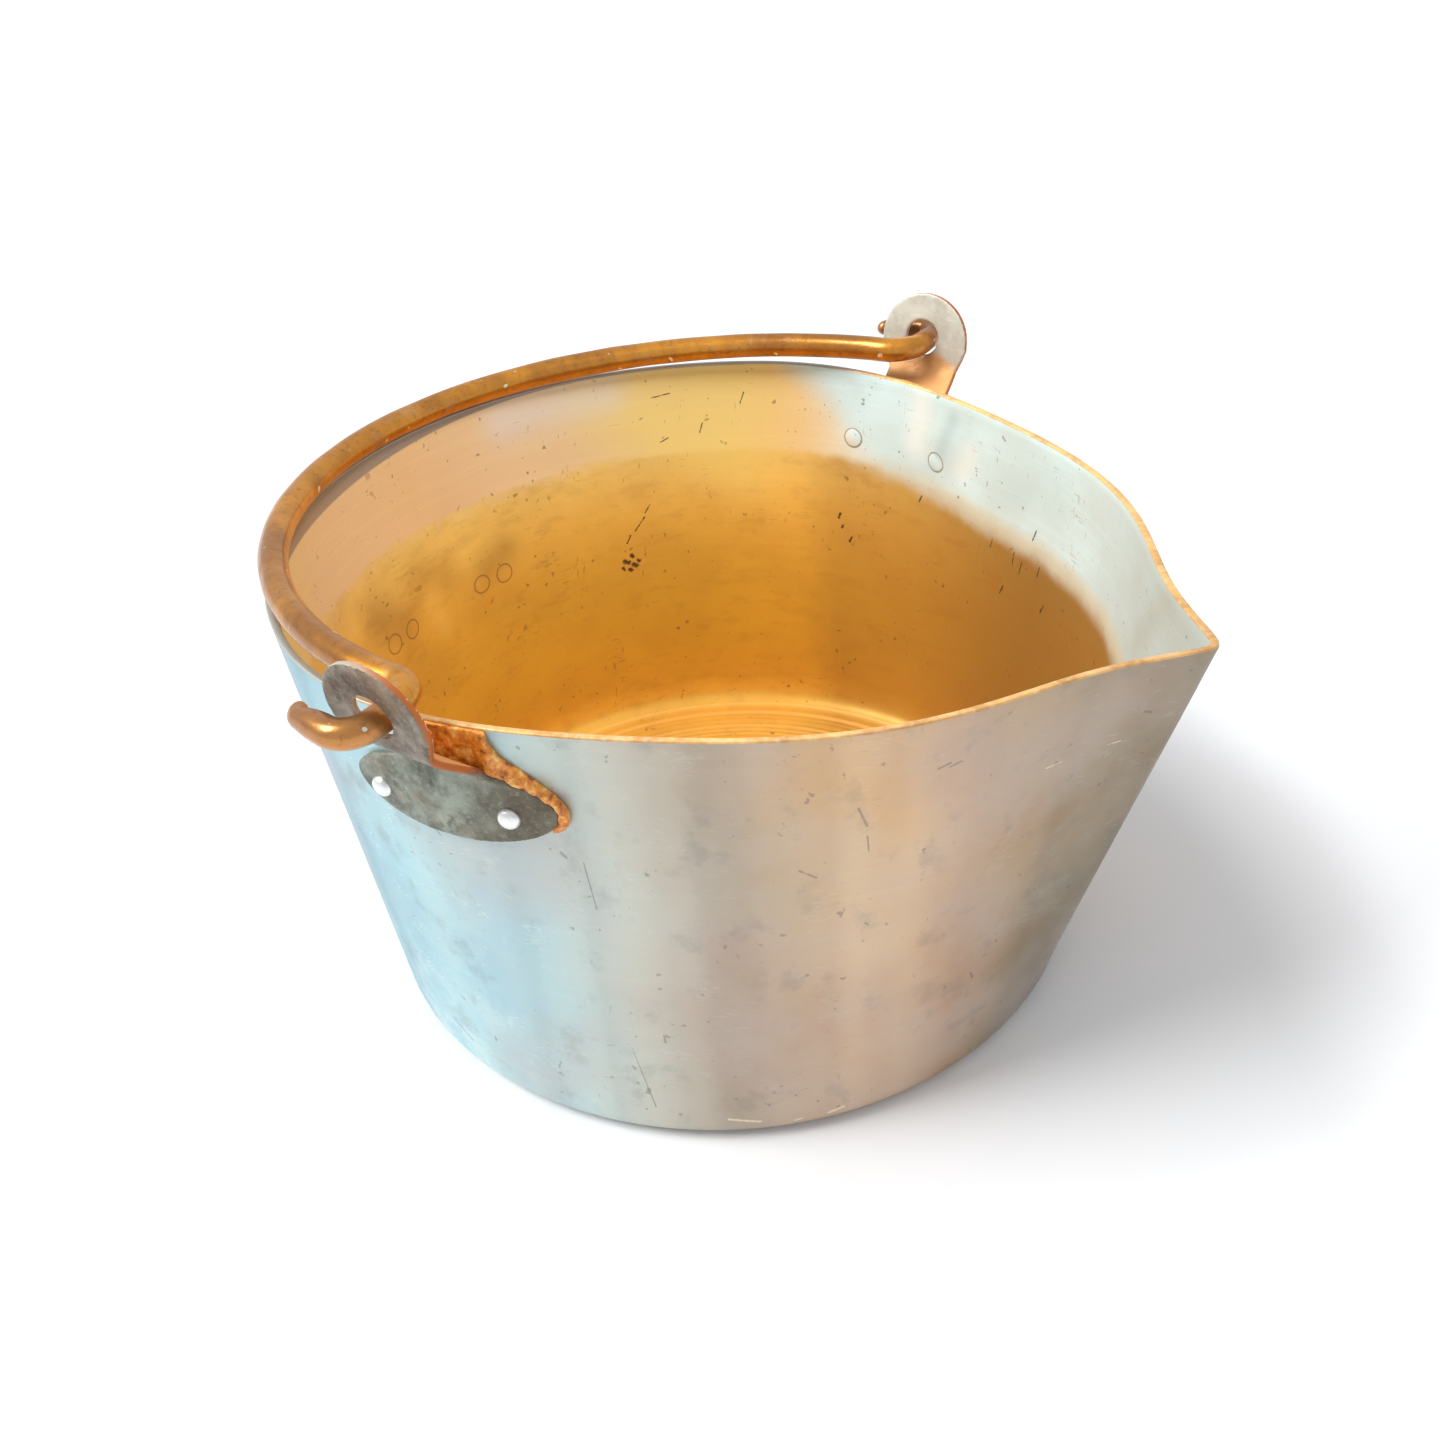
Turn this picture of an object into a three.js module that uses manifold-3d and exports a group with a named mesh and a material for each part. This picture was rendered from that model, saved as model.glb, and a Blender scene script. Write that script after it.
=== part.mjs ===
// Preserving pan: a tapered sheet-metal pan with a pouring lip, a swinging bail handle hooked into two
// riveted ears, and a small fixed tipping handle riveted low on the back.
// Millimetres, +Z up. The origin is the centre of the underside; the pouring lip points along +X.

import * as THREE from 'three';
import { mergeVertices } from 'three/addons/utils/BufferGeometryUtils.js';
import Module from 'manifold-3d';

// ---- Pan body ----
const RIM_RADIUS = 150;          // nominal outer radius of the rim
const RIM_HEIGHT = 168;          // underside to the top of the rim
const FOOT_RADIUS = 134;         // outer radius that the straight wall would reach at the underside
const FOOT_CORNER = 8;           // outer radius of the rounded foot corner
const WALL = 2.5;                // sheet thickness
const RIM_ROUNDING = 0.7;        // small round on both edges of the rim
const LIP_REACH = 32;            // how far the pouring lip stands past the nominal rim
const LIP_SPAN = 56;             // degrees each side over which the lip runs out
const LIP_SHARPNESS = 6;         // larger is a narrower lip
const LIP_NOSE = 1.2;            // degrees that round the lip's tip
const FLANK_DIP = 14;            // how far pressing the lip drew the flanks in
const FLANK_ANGLE = 65.5;        // degrees from the lip to the deepest point of the flank
const FLANK_SPAN = 50;           // degrees each side over which the flank runs out
const BACK_STRETCH = 3.8;        // how far the rim stands out at the back

// ---- Bail ears ----
const EAR_X = 4;                 // the eyes sit a little towards the lip
const EAR_PLATE = 3;             // plate thickness
const EAR_RIVET_X = 1.5;         // middle of each ear's two rivets
const EAR_RIVET_DROP = 29.5;     // rim down to the rivets
const EAR_RIVET_SPACING = 44;
const EAR_BASE_MARGIN = 12.5;    // rivet out to the end of the base oval
const EAR_BASE_HEIGHT = 28;
const EAR_BASE_RISE = 2;         // centre of the base oval above the rivets
const EAR_STANDOFF = 18;         // pan wall at the rim to the middle of the plate at the eye
const EAR_LEAN = 9;              // degrees that the eye leans outward
const EYE_RISE = 11.5;           // rim up to the eye
const EYE_PLATE_RADIUS = 18.8;
const EYE_PLAY = 3;              // room all round the hook in the eye
const NECK_WIDTH = 30;
const NECK_FLARE = 6;            // extra width where the neck runs into the base
const STEP_LOW_DROP = 12;        // rim down to where the neck starts to step outward
const STEP_HIGH_RISE = 0.5;      // rim up to where it is back in the eye's plane
const STEP_BEND = 5;             // radius of both bends of the step

// ---- Bail handle ----
const ROD = 10;                  // rod diameter along the bow
const HOOK_ROD = 8.5;            // rod diameter of the hooks
const LEG_OUT = 2;               // the legs stand outside the rim by this much
const BEND_RADIUS = 12;          // bend from the leg into the eye
const LEG_LEAD = 4;              // the bow starts this far behind the bend
const HOOK_CLEAR = 0.8;          // hook to ear plate, at the plate's outermost point
const HOOK_RADIUS = 8;           // bend outside the eye
const HOOK_TIP_CLEAR = 1.45;     // turned-in tip to the edge of the ear plate
const HOOK_SLANT = 3;            // how far the outer run closes in on the ear
const HOOK_TIP_RADIUS = 4.5;
const HOOK_TIP = 5;              // how far the tip turns in towards the wall
const HOOK_TAPER_START = 0.55;   // share of the hook's length that keeps the hook's own diameter

// ---- Tipping handle ----
const TIP_HEIGHT = 94;           // height of its rivets
const TIP_FOOT_SPACING = 57;     // between the middles of the two feet
const TIP_FOOT_MARGIN = 7.75;    // rivet out to the end of the foot
const TIP_FOOT_HEIGHT = 25;
const TIP_FOOT_RISE = 5;         // centre of the foot above its rivets
const TIP_LEG_CLEAR = 2;         // rivet heads to the underside of the legs
const TIP_FOOT_PLATE = 2.5;
const TIP_RIVET_SPACING = 12.5;
const TIP_ROD = 8;
const TIP_REACH = 36;            // pan wall to the middle of the grip
const TIP_BEND = 13;

// ---- Rivets ----
const RIVET_SHANK = 5;
const RIVET_HEAD = 8;
const RIVET_DOME = 2.6;
const RIVET_DOME_EDGE = 0.3;     // upright edge under the dome
const RIVET_INNER_HEAD = 8;
const RIVET_INNER_PROUD = 0.8;
const RIVET_INNER_CHAMFER = 0.4;

const GAP = 0.3;                 // clearance between pieces that touch

// ---- Facets ----
const PAN_FACETS = 120;
const CORNER_STEPS = 5;
const ROD_SIDES = 12;
const BAIL_STEPS = 120;
const TIP_STEPS = 36;
const RIVET_SIDES = 16;
const DOME_STEPS = 5;
const HOLE_SIDES = 20;
const EYE_SIDES = 32;
const DISC_SIDES = 48;
const WALL_LEVELS = 5;
const BAND_LEVELS = 4;
const OVAL_STEPS = 24;
const CURVE_STEPS = 6;
const SEARCH_STEPS = 20;         // rounds when looking for an angle on the wall

// ---- Worked out from the sizes above ----
const eyeHeight = RIM_HEIGHT + EYE_RISE;
const eyeBore = HOOK_ROD + 2 * EYE_PLAY;
const earRivetHeight = RIM_HEIGHT - EAR_RIVET_DROP;
const earBaseLength = EAR_RIVET_SPACING + 2 * EAR_BASE_MARGIN;
const stepLow = RIM_HEIGHT - STEP_LOW_DROP;
const stepHigh = RIM_HEIGHT + STEP_HIGH_RISE;
const hookBack = EYE_PLATE_RADIUS + HOOK_ROD / 2 + HOOK_TIP_CLEAR;
const tipLegRise = (TIP_ROD + RIVET_HEAD) / 2 + TIP_LEG_CLEAR;
const tipFootLength = TIP_RIVET_SPACING + 2 * TIP_FOOT_MARGIN;

const wasm = await Module();
wasm.setup();

const radians = THREE.MathUtils.degToRad;
const clamp = THREE.MathUtils.clamp;

// ---------- Solids ----------

function toSolid(geometry) {
  const bare = geometry.clone();
  bare.deleteAttribute('normal');
  bare.deleteAttribute('uv');
  const merged = mergeVertices(bare, 1e-4);
  return new wasm.Manifold(new wasm.Mesh({
    numProp: 3,
    vertProperties: new Float32Array(merged.attributes.position.array),
    triVerts: new Uint32Array(merged.index.array),
  }));
}

function toGeometry(solid) {
  const mesh = solid.getMesh();
  const geometry = new THREE.BufferGeometry();
  geometry.setAttribute('position', new THREE.BufferAttribute(new Float32Array(mesh.vertProperties), 3));
  geometry.setIndex(new THREE.BufferAttribute(new Uint32Array(mesh.triVerts), 1));
  return geometry;
}

function mirroredAcrossXZ(geometry) {
  const mirrored = geometry.clone().scale(1, -1, 1);
  const index = mirrored.index.array;
  for (let i = 0; i < index.length; i += 3) {
    [index[i + 1], index[i + 2]] = [index[i + 2], index[i + 1]];
  }
  return mirrored;
}

// ---------- The pan's wall, which everything riveted to it follows ----------

function rimOffset(angle) {
  const fromLip = Math.abs(Math.atan2(Math.sin(angle), Math.cos(angle)));
  const nose = radians(LIP_NOSE);
  const along = Math.min((Math.hypot(fromLip, nose) - nose) / radians(LIP_SPAN), 1);
  const lip = LIP_REACH * (1 - along) ** LIP_SHARPNESS;
  const flank = clamp((fromLip - radians(FLANK_ANGLE)) / radians(FLANK_SPAN), -1, 1);
  const dip = FLANK_DIP * Math.cos(flank * Math.PI / 2) ** 2;
  const back = fromLip > Math.PI / 2 ? BACK_STRETCH * Math.cos(fromLip) ** 2 : 0;
  return lip - dip + back;
}

function taperRadius(z) {
  return FOOT_RADIUS + (RIM_RADIUS - FOOT_RADIUS) * z / RIM_HEIGHT;
}

// The foot is round; the rim's own shape grows in evenly from the top of the foot corner.
function outerRadius(angle, z) {
  const rise = Math.max((z - FOOT_CORNER) / (RIM_HEIGHT - FOOT_CORNER), 0);
  return taperRadius(z) + rimOffset(angle) * rise;
}

// A point of the wall, moved outward by a distance square to the wall's plan outline.
function wallPoint(angle, z, outward = 0) {
  const step = 1e-3;
  const radius = outerRadius(angle, z);
  const slope = (outerRadius(angle + step, z) - outerRadius(angle - step, z)) / (2 * step);
  const length = Math.hypot(radius, slope);
  const [c, s] = [Math.cos(angle), Math.sin(angle)];
  const nx = (radius * c + slope * s) / length;
  const ny = (radius * s - slope * c) / length;
  return new THREE.Vector3(radius * c + outward * nx, radius * s + outward * ny, z);
}

function wallNormal(angle, z) {
  const step = 1e-3;
  const around = wallPoint(angle + step, z).sub(wallPoint(angle - step, z));
  const up = wallPoint(angle, z + 1).sub(wallPoint(angle, z - 1));
  return around.cross(up).normalize();
}

// The angle at which the wall passes a given X, on the side of +Y (side 1) or -Y (side -1).
function angleAtX(x, side, z) {
  let angle = side * Math.PI / 2;
  for (let i = 0; i < SEARCH_STEPS; i += 1) angle = side * Math.acos(x / outerRadius(angle, z));
  return angle;
}

// The angle at which the wall passes a given Y at the back.
function backAngleAtY(y, z) {
  let angle = Math.PI;
  for (let i = 0; i < SEARCH_STEPS; i += 1) angle = Math.PI - Math.asin(y / outerRadius(angle, z));
  return angle;
}

// Turns a closed profile of (radius, height) in the round pan into a solid that follows the real plan
// outline. Points within a sheet's thickness of the wall keep their distance square to the outline.
function panGeometry(profile) {
  const points = profile.map(([radius, z]) => new THREE.Vector2(radius, z));
  const geometry = new THREE.LatheGeometry(points, PAN_FACETS);
  geometry.rotateX(Math.PI / 2);
  const position = geometry.attributes.position;
  for (let i = 0; i < position.count; i += 1) {
    const [x, y, z] = [position.getX(i), position.getY(i), position.getZ(i)];
    const radius = Math.hypot(x, y);
    if (radius < 1e-6) {
      position.setXYZ(i, 0, 0, z);
      continue;
    }
    const angle = Math.atan2(y, x);
    const inset = taperRadius(z) - radius;
    const square = Math.min(inset, WALL);
    const onWall = wallPoint(angle, z, -square);
    const inward = inset - square;
    position.setXYZ(i, onWall.x - inward * Math.cos(angle), onWall.y - inward * Math.sin(angle), z);
  }
  return geometry;
}

// A band that follows the wall between two distances outward and two heights.
function wallBand(near, far, low, high) {
  const profile = [];
  const side = (offset, share) => {
    const z = THREE.MathUtils.lerp(low, high, share);
    profile.push([taperRadius(z) + offset, z]);
  };
  for (let i = 0; i <= BAND_LEVELS; i += 1) side(far, i / BAND_LEVELS);
  for (let i = BAND_LEVELS; i >= 0; i -= 1) side(near, i / BAND_LEVELS);
  profile.push(profile[0]);
  return toSolid(panGeometry(profile));
}

// ---------- Shared shapes ----------

// A flat shape drawn in X and Z, given depth between two values of Y.
function slabAlongY(shape, from, to, curveSteps) {
  const geometry = new THREE.ExtrudeGeometry(shape, {
    depth: Math.abs(to - from), bevelEnabled: false, curveSegments: curveSteps,
  });
  geometry.rotateX(Math.PI / 2);
  geometry.translate(0, Math.max(from, to), 0);
  return toSolid(geometry);
}

// A flat shape drawn in Y and Z, given depth between two values of X.
function slabAlongX(shape, from, to) {
  const geometry = new THREE.ExtrudeGeometry(shape, { depth: to - from, bevelEnabled: false });
  geometry.applyMatrix4(new THREE.Matrix4().set(
    0, 0, 1, from,
    1, 0, 0, 0,
    0, 1, 0, 0,
    0, 0, 0, 1,
  ));
  return toSolid(geometry);
}

// A cylinder from one point along a direction, both ways by half its length.
function drill(centre, direction, radius, length, sides) {
  const geometry = new THREE.CylinderGeometry(radius, radius, length, sides);
  const turn = new THREE.Quaternion().setFromUnitVectors(new THREE.Vector3(0, 1, 0), direction);
  geometry.applyQuaternion(turn);
  geometry.translate(centre.x, centre.y, centre.z);
  return toSolid(geometry);
}

// A round rod along a path. radiusAt gives the rod's radius for a share of the path's length.
function rodGeometry(path, steps, radiusAt) {
  const section = new THREE.Shape();
  section.absarc(0, 0, 1, 0, 2 * Math.PI);
  const centres = [];
  for (let i = 0; i <= steps; i += 1) centres.push(path.getPointAt(i / steps));
  const geometry = new THREE.ExtrudeGeometry(section, {
    steps, extrudePath: path, bevelEnabled: false, curveSegments: ROD_SIDES / 2,
  });
  const position = geometry.attributes.position;
  const point = new THREE.Vector3();
  for (let i = 0; i < position.count; i += 1) {
    point.fromBufferAttribute(position, i);
    let nearest = 0;
    for (let k = 1; k <= steps; k += 1) {
      if (point.distanceToSquared(centres[k]) < point.distanceToSquared(centres[nearest])) nearest = k;
    }
    point.sub(centres[nearest]).setLength(radiusAt(nearest / steps)).add(centres[nearest]);
    position.setXYZ(i, point.x, point.y, point.z);
  }
  return geometry;
}

// A path through corner points, each corner rounded by its own radius.
function roundedPath(corners) {
  const path = new THREE.CurvePath();
  let from = corners[0].at.clone();
  for (let i = 1; i < corners.length - 1; i += 1) {
    const { at, radius } = corners[i];
    const back = corners[i - 1].at.clone().sub(at).normalize();
    const ahead = corners[i + 1].at.clone().sub(at).normalize();
    const cut = radius / Math.tan(back.angleTo(ahead) / 2);
    const start = at.clone().addScaledVector(back, cut);
    const end = at.clone().addScaledVector(ahead, cut);
    const middle = back.clone().add(ahead).normalize();
    const centre = at.clone().addScaledVector(middle, radius / Math.sin(back.angleTo(ahead) / 2));
    path.add(new THREE.LineCurve3(from, start));
    path.add(new ArcCurve(centre, start, end));
    from = end;
  }
  path.add(new THREE.LineCurve3(from, corners.at(-1).at.clone()));
  return path;
}

class ArcCurve extends THREE.Curve {
  constructor(centre, start, end) {
    super();
    this.centre = centre;
    this.first = start.clone().sub(centre);
    this.last = end.clone().sub(centre);
    this.angle = this.first.angleTo(this.last);
    this.axis = this.first.clone().cross(this.last).normalize();
  }

  getPoint(share, target = new THREE.Vector3()) {
    return target.copy(this.first).applyAxisAngle(this.axis, this.angle * share).add(this.centre);
  }
}

// ---------- Pan body ----------

function panBody(rivets) {
  const profile = [[0, 0]];
  const wallTilt = Math.atan2(RIM_HEIGHT, RIM_RADIUS - FOOT_RADIUS);
  const tangent = FOOT_CORNER * Math.tan(wallTilt / 2);
  const centre = [FOOT_RADIUS - tangent, FOOT_CORNER];
  const corner = (radius, reverse) => {
    for (let i = 0; i <= CORNER_STEPS; i += 1) {
      const share = reverse ? 1 - i / CORNER_STEPS : i / CORNER_STEPS;
      const turn = -Math.PI / 2 + wallTilt * share;
      profile.push([centre[0] + radius * Math.cos(turn), centre[1] + radius * Math.sin(turn)]);
    }
  };
  profile.push([FOOT_RADIUS / 2, 0]);
  corner(FOOT_CORNER, false);
  const wall = (offset, share) => {
    const z = THREE.MathUtils.lerp(FOOT_CORNER, RIM_HEIGHT - RIM_ROUNDING, share);
    profile.push([taperRadius(z) + offset, z]);
  };
  for (let i = 1; i <= WALL_LEVELS; i += 1) wall(0, i / WALL_LEVELS);
  const top = taperRadius(RIM_HEIGHT);
  profile.push([top - RIM_ROUNDING, RIM_HEIGHT]);
  profile.push([top - WALL + RIM_ROUNDING, RIM_HEIGHT]);
  for (let i = WALL_LEVELS; i >= 1; i -= 1) wall(-WALL, i / WALL_LEVELS);
  corner(FOOT_CORNER - WALL, true);
  profile.push([FOOT_RADIUS / 2, WALL]);
  profile.push([0, WALL]);
  let body = toSolid(panGeometry(profile));
  for (const rivet of rivets) {
    body = body.subtract(holeFor(rivet));
  }
  return toGeometry(body);
}

// ---------- Rivets ----------

// A rivet stands on the wall at one point; plate is the thickness of what it holds on the outside.
function rivetSeat(angle, z, plate) {
  return { at: wallPoint(angle, z), normal: wallNormal(angle, z), plate };
}

function rivetGeometry({ at, normal, plate }) {
  const under = GAP + plate + GAP;
  const inside = -WALL - GAP;
  const head = RIVET_HEAD / 2;
  const shank = RIVET_SHANK / 2;
  const innerHead = RIVET_INNER_HEAD / 2;
  const profile = [[0, inside - RIVET_INNER_PROUD]];
  profile.push([innerHead - RIVET_INNER_CHAMFER, inside - RIVET_INNER_PROUD]);
  profile.push([innerHead, inside - RIVET_INNER_PROUD / 2]);
  profile.push([innerHead, inside]);
  profile.push([shank, inside]);
  profile.push([shank, under]);
  profile.push([head, under]);
  for (let i = 0; i < DOME_STEPS; i += 1) {
    const turn = (i / DOME_STEPS) * Math.PI / 2;
    const rise = RIVET_DOME_EDGE + (RIVET_DOME - RIVET_DOME_EDGE) * Math.sin(turn);
    profile.push([head * Math.cos(turn), under + rise]);
  }
  profile.push([0, under + RIVET_DOME]);
  const geometry = new THREE.LatheGeometry(profile.map(([r, y]) => new THREE.Vector2(r, y)), RIVET_SIDES);
  geometry.applyQuaternion(new THREE.Quaternion().setFromUnitVectors(new THREE.Vector3(0, 1, 0), normal));
  return geometry.translate(at.x, at.y, at.z);
}

// The hole through the wall and the plate on it, for one rivet's shank.
function holeFor({ at, normal, plate }) {
  return drill(at, normal, RIVET_SHANK / 2 + GAP, 4 * (WALL + plate), HOLE_SIDES);
}

// ---------- Bail ears ----------

const wallAtEar = Math.abs(wallPoint(angleAtX(EAR_X, -1, RIM_HEIGHT), RIM_HEIGHT).y);
const eyeY = wallAtEar + EAR_STANDOFF;
const earInside = -wallAtEar / 2;  // cutting shapes for an ear run from outside it to here

// The plate's middle line seen along X: up the wall, out over a step, then up again at the eye's lean.
function earSideShape() {
  const wallY = (z) => Math.abs(wallPoint(angleAtX(EAR_X, -1, z), z, GAP + EAR_PLATE / 2).y);
  const lean = Math.tan(radians(EAR_LEAN));
  const eyeLineY = (z) => eyeY + (z - eyeHeight) * lean;
  const top = eyeHeight + EYE_PLATE_RADIUS + EAR_PLATE;
  const corners = [
    { at: new THREE.Vector3(wallY(earRivetHeight), earRivetHeight, 0) },
    { at: new THREE.Vector3(wallY(stepLow), stepLow, 0), radius: STEP_BEND },
    { at: new THREE.Vector3(eyeLineY(stepHigh), stepHigh, 0), radius: STEP_BEND },
    { at: new THREE.Vector3(eyeLineY(top), top, 0) },
  ];
  const line = roundedPath(corners);
  const steps = (curve) => (curve instanceof ArcCurve ? CURVE_STEPS : 1);
  const samples = line.curves.flatMap((curve) => curve.getPoints(steps(curve)));
  const middle = samples.filter((point, i) => i === 0 || point.distanceTo(samples[i - 1]) > GAP / 6);
  const side = (offset) => middle.map((point, i) => {
    const before = middle[Math.max(i - 1, 0)];
    const after = middle[Math.min(i + 1, middle.length - 1)];
    const along = after.clone().sub(before).normalize();
    return new THREE.Vector2(-(point.x + along.y * offset), point.y - along.x * offset);
  });
  return new THREE.Shape([...side(EAR_PLATE / 2), ...side(-EAR_PLATE / 2).reverse()]);
}

function ovalShape(x, z, halfLength, halfHeight) {
  const shape = new THREE.Shape();
  shape.absellipse(x, z, halfLength, halfHeight, 0, 2 * Math.PI);
  return shape;
}

// The base plate: an oval with a flared root for the neck.
function basePlate(low, high, outside) {
  const baseZ = earRivetHeight + EAR_BASE_RISE;
  const half = NECK_WIDTH / 2;
  const root = new THREE.Shape();
  root.moveTo(EAR_X - half - NECK_FLARE, baseZ);
  root.lineTo(EAR_X + half + NECK_FLARE, baseZ);
  root.quadraticCurveTo(EAR_X + half, (baseZ + stepLow) / 2, EAR_X + half, stepLow);
  root.lineTo(EAR_X - half, stepLow);
  root.quadraticCurveTo(EAR_X - half, (baseZ + stepLow) / 2, EAR_X - half - NECK_FLARE, baseZ);
  const oval = ovalShape(EAR_X, baseZ, earBaseLength / 2, EAR_BASE_HEIGHT / 2);
  const outline = slabAlongY(oval, outside, earInside, OVAL_STEPS)
    .add(slabAlongY(root, outside, earInside, CURVE_STEPS));
  return wallBand(GAP, GAP + EAR_PLATE, low, high).intersect(outline);
}

// The neck above the base plate, up to the middle of the eye.
function neckShape() {
  const half = NECK_WIDTH / 2;
  const shape = new THREE.Shape();
  shape.moveTo(EAR_X - half, stepLow - EAR_PLATE);
  shape.lineTo(EAR_X + half, stepLow - EAR_PLATE);
  shape.lineTo(EAR_X + half, stepHigh);
  shape.lineTo(EAR_X + EYE_PLATE_RADIUS, eyeHeight);
  shape.lineTo(EAR_X - EYE_PLATE_RADIUS, eyeHeight);
  shape.lineTo(EAR_X - half, stepHigh);
  return shape;
}

function rightEarGeometry(rivets) {
  const outside = -(eyeY + 2 * EYE_PLATE_RADIUS);
  const base = basePlate(earRivetHeight - EAR_BASE_HEIGHT, stepLow + EAR_PLATE, outside);

  const eyeDirection = new THREE.Vector3(0, -Math.cos(radians(EAR_LEAN)), -Math.sin(radians(EAR_LEAN)));
  const eye = new THREE.Vector3(EAR_X, -eyeY, eyeHeight);
  const disc = drill(eye, eyeDirection, EYE_PLATE_RADIUS, 4 * EAR_PLATE, DISC_SIDES);
  const neck = slabAlongY(neckShape(), outside, earInside, CURVE_STEPS);
  const ribbon = slabAlongX(earSideShape(), EAR_X - earBaseLength / 2, EAR_X + earBaseLength / 2);
  const upright = ribbon.intersect(neck.add(disc));

  let ear = base.add(upright.subtract(toSolid(panClearance())));
  ear = ear.subtract(drill(eye, eyeDirection, eyeBore / 2, 6 * EAR_PLATE, EYE_SIDES));
  for (const rivet of rivets) ear = ear.subtract(holeFor(rivet));
  return toGeometry(ear);
}

// Everything inside the wall plus the usual gap, to keep the necks off the pan.
function panClearance() {
  const low = earRivetHeight - EAR_BASE_HEIGHT;
  const high = stepHigh + EAR_PLATE;
  return panGeometry([[0, low], [taperRadius(low) + GAP, low], [taperRadius(high) + GAP, high], [0, high]]);
}

// ---------- Bail handle ----------

const restDrop = eyeHeight - (RIM_HEIGHT + ROD / 2 + GAP);
const bailReach = RIM_RADIUS + BACK_STRETCH - WALL / 2 + EAR_X;
const bailHalfWidth = wallAtEar + LEG_OUT;
const bailTilt = Math.asin(restDrop / bailReach);
// The eye plate leans, so its top stands nearest to the hook's outer run.
const hookOut = EAR_PLATE / 2 + EYE_PLATE_RADIUS * Math.sin(radians(EAR_LEAN))
  + HOOK_CLEAR + HOOK_SLANT + HOOK_ROD / 2;

// The bow is half an ellipse behind the hinge axis; each leg ends in a bend out through its eye and a hook.
class BowCurve extends THREE.Curve {
  constructor(startAngle) {
    super();
    this.startAngle = startAngle;
  }

  getPoint(share, target = new THREE.Vector3()) {
    const angle = THREE.MathUtils.lerp(this.startAngle, Math.PI - this.startAngle, share);
    const x = -bailReach * Math.sin(angle);
    return target.set(x, -bailHalfWidth * Math.cos(angle), 0);
  }
}

function bailGeometry() {
  const startAngle = Math.asin((BEND_RADIUS + LEG_LEAD) / bailReach);
  const bow = new BowCurve(startAngle);
  const legEnd = bow.getPoint(0);
  const hookY = -(eyeY + hookOut);
  const half = [
    { at: new THREE.Vector3(-hookBack, hookY + HOOK_SLANT + HOOK_TIP, 0) },
    { at: new THREE.Vector3(-hookBack, hookY + HOOK_SLANT, 0), radius: HOOK_TIP_RADIUS },
    { at: new THREE.Vector3(0, hookY, 0), radius: HOOK_RADIUS },
    { at: new THREE.Vector3(0, legEnd.y, 0), radius: BEND_RADIUS },
    { at: legEnd },
  ];
  const first = roundedPath(half);
  const second = roundedPath(half.map(({ at, radius }) => (
    { at: new THREE.Vector3(at.x, -at.y, 0), radius })).reverse());
  const path = new THREE.CurvePath();
  path.curves.push(...first.curves, bow, ...second.curves);
  const total = path.getLength();
  const hookLength = first.getLength() - BEND_RADIUS;
  const radiusAt = (share) => {
    const fromEnd = Math.min(share, 1 - share) * total;
    const along = clamp((fromEnd / hookLength - HOOK_TAPER_START) / (1 - HOOK_TAPER_START), 0, 1);
    return THREE.MathUtils.lerp(HOOK_ROD, ROD, along) / 2;
  };
  const geometry = rodGeometry(path, BAIL_STEPS, radiusAt);
  geometry.rotateY(-bailTilt);
  return geometry.translate(EAR_X, 0, eyeHeight);
}

// ---------- Tipping handle ----------

function tippingHandleGeometry(rivets) {
  const half = TIP_FOOT_SPACING / 2;
  const footZ = TIP_HEIGHT + TIP_FOOT_RISE;
  const legZ = TIP_HEIGHT + tipLegRise;
  const band = wallBand(GAP, GAP + TIP_FOOT_PLATE, footZ - TIP_FOOT_HEIGHT, footZ + TIP_FOOT_HEIGHT);
  const start = wallPoint(backAngleAtY(half, legZ), legZ).x - GAP - TIP_ROD / 4;
  const gripX = wallPoint(Math.PI, legZ).x - TIP_REACH;
  const path = roundedPath([
    { at: new THREE.Vector3(start, -half, legZ) },
    { at: new THREE.Vector3(gripX, -half, legZ), radius: TIP_BEND },
    { at: new THREE.Vector3(gripX, half, legZ), radius: TIP_BEND },
    { at: new THREE.Vector3(start, half, legZ) },
  ]);
  let handle = toSolid(rodGeometry(path, TIP_STEPS, () => TIP_ROD / 2));
  for (const side of [-1, 1]) {
    const foot = new THREE.Shape();
    foot.absellipse(side * half, footZ, tipFootLength / 2, TIP_FOOT_HEIGHT / 2, 0, 2 * Math.PI);
    handle = handle.add(band.intersect(slabAlongX(foot, gripX, -FOOT_RADIUS / 2)));
  }
  for (const rivet of rivets) handle = handle.subtract(holeFor(rivet));
  return toGeometry(handle);
}

// ---------- Assembly ----------

const material = (color, roughness, metalness) => new THREE.MeshStandardMaterial({ color, roughness, metalness });
const panMetal = material(0xb9bdbb, 0.42, 0.85);
const earMetal = material(0x8f8b7c, 0.55, 0.8);
const bailMetal = material(0xa8672a, 0.35, 0.9);
const rivetMetal = material(0xe4e4e0, 0.3, 0.9);

const pan = new THREE.Group();

function place(name, geometry, base) {
  const bare = geometry.clone();
  bare.deleteAttribute('uv');
  const mesh = new THREE.Mesh(bare, base.clone());
  mesh.name = name;
  pan.add(mesh);
}

const earRivets = (side) => [-1, 1].map((end) => rivetSeat(
  angleAtX(EAR_RIVET_X + end * EAR_RIVET_SPACING / 2, side, earRivetHeight), earRivetHeight, EAR_PLATE));
const rightEarRivets = earRivets(-1);
const leftEarRivets = earRivets(1);
const tippingRivets = [-1, 1].flatMap((side) => [-1, 1].map((end) => rivetSeat(
  backAngleAtY(side * (TIP_FOOT_SPACING + end * TIP_RIVET_SPACING) / 2, TIP_HEIGHT), TIP_HEIGHT,
  TIP_FOOT_PLATE)));

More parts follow.
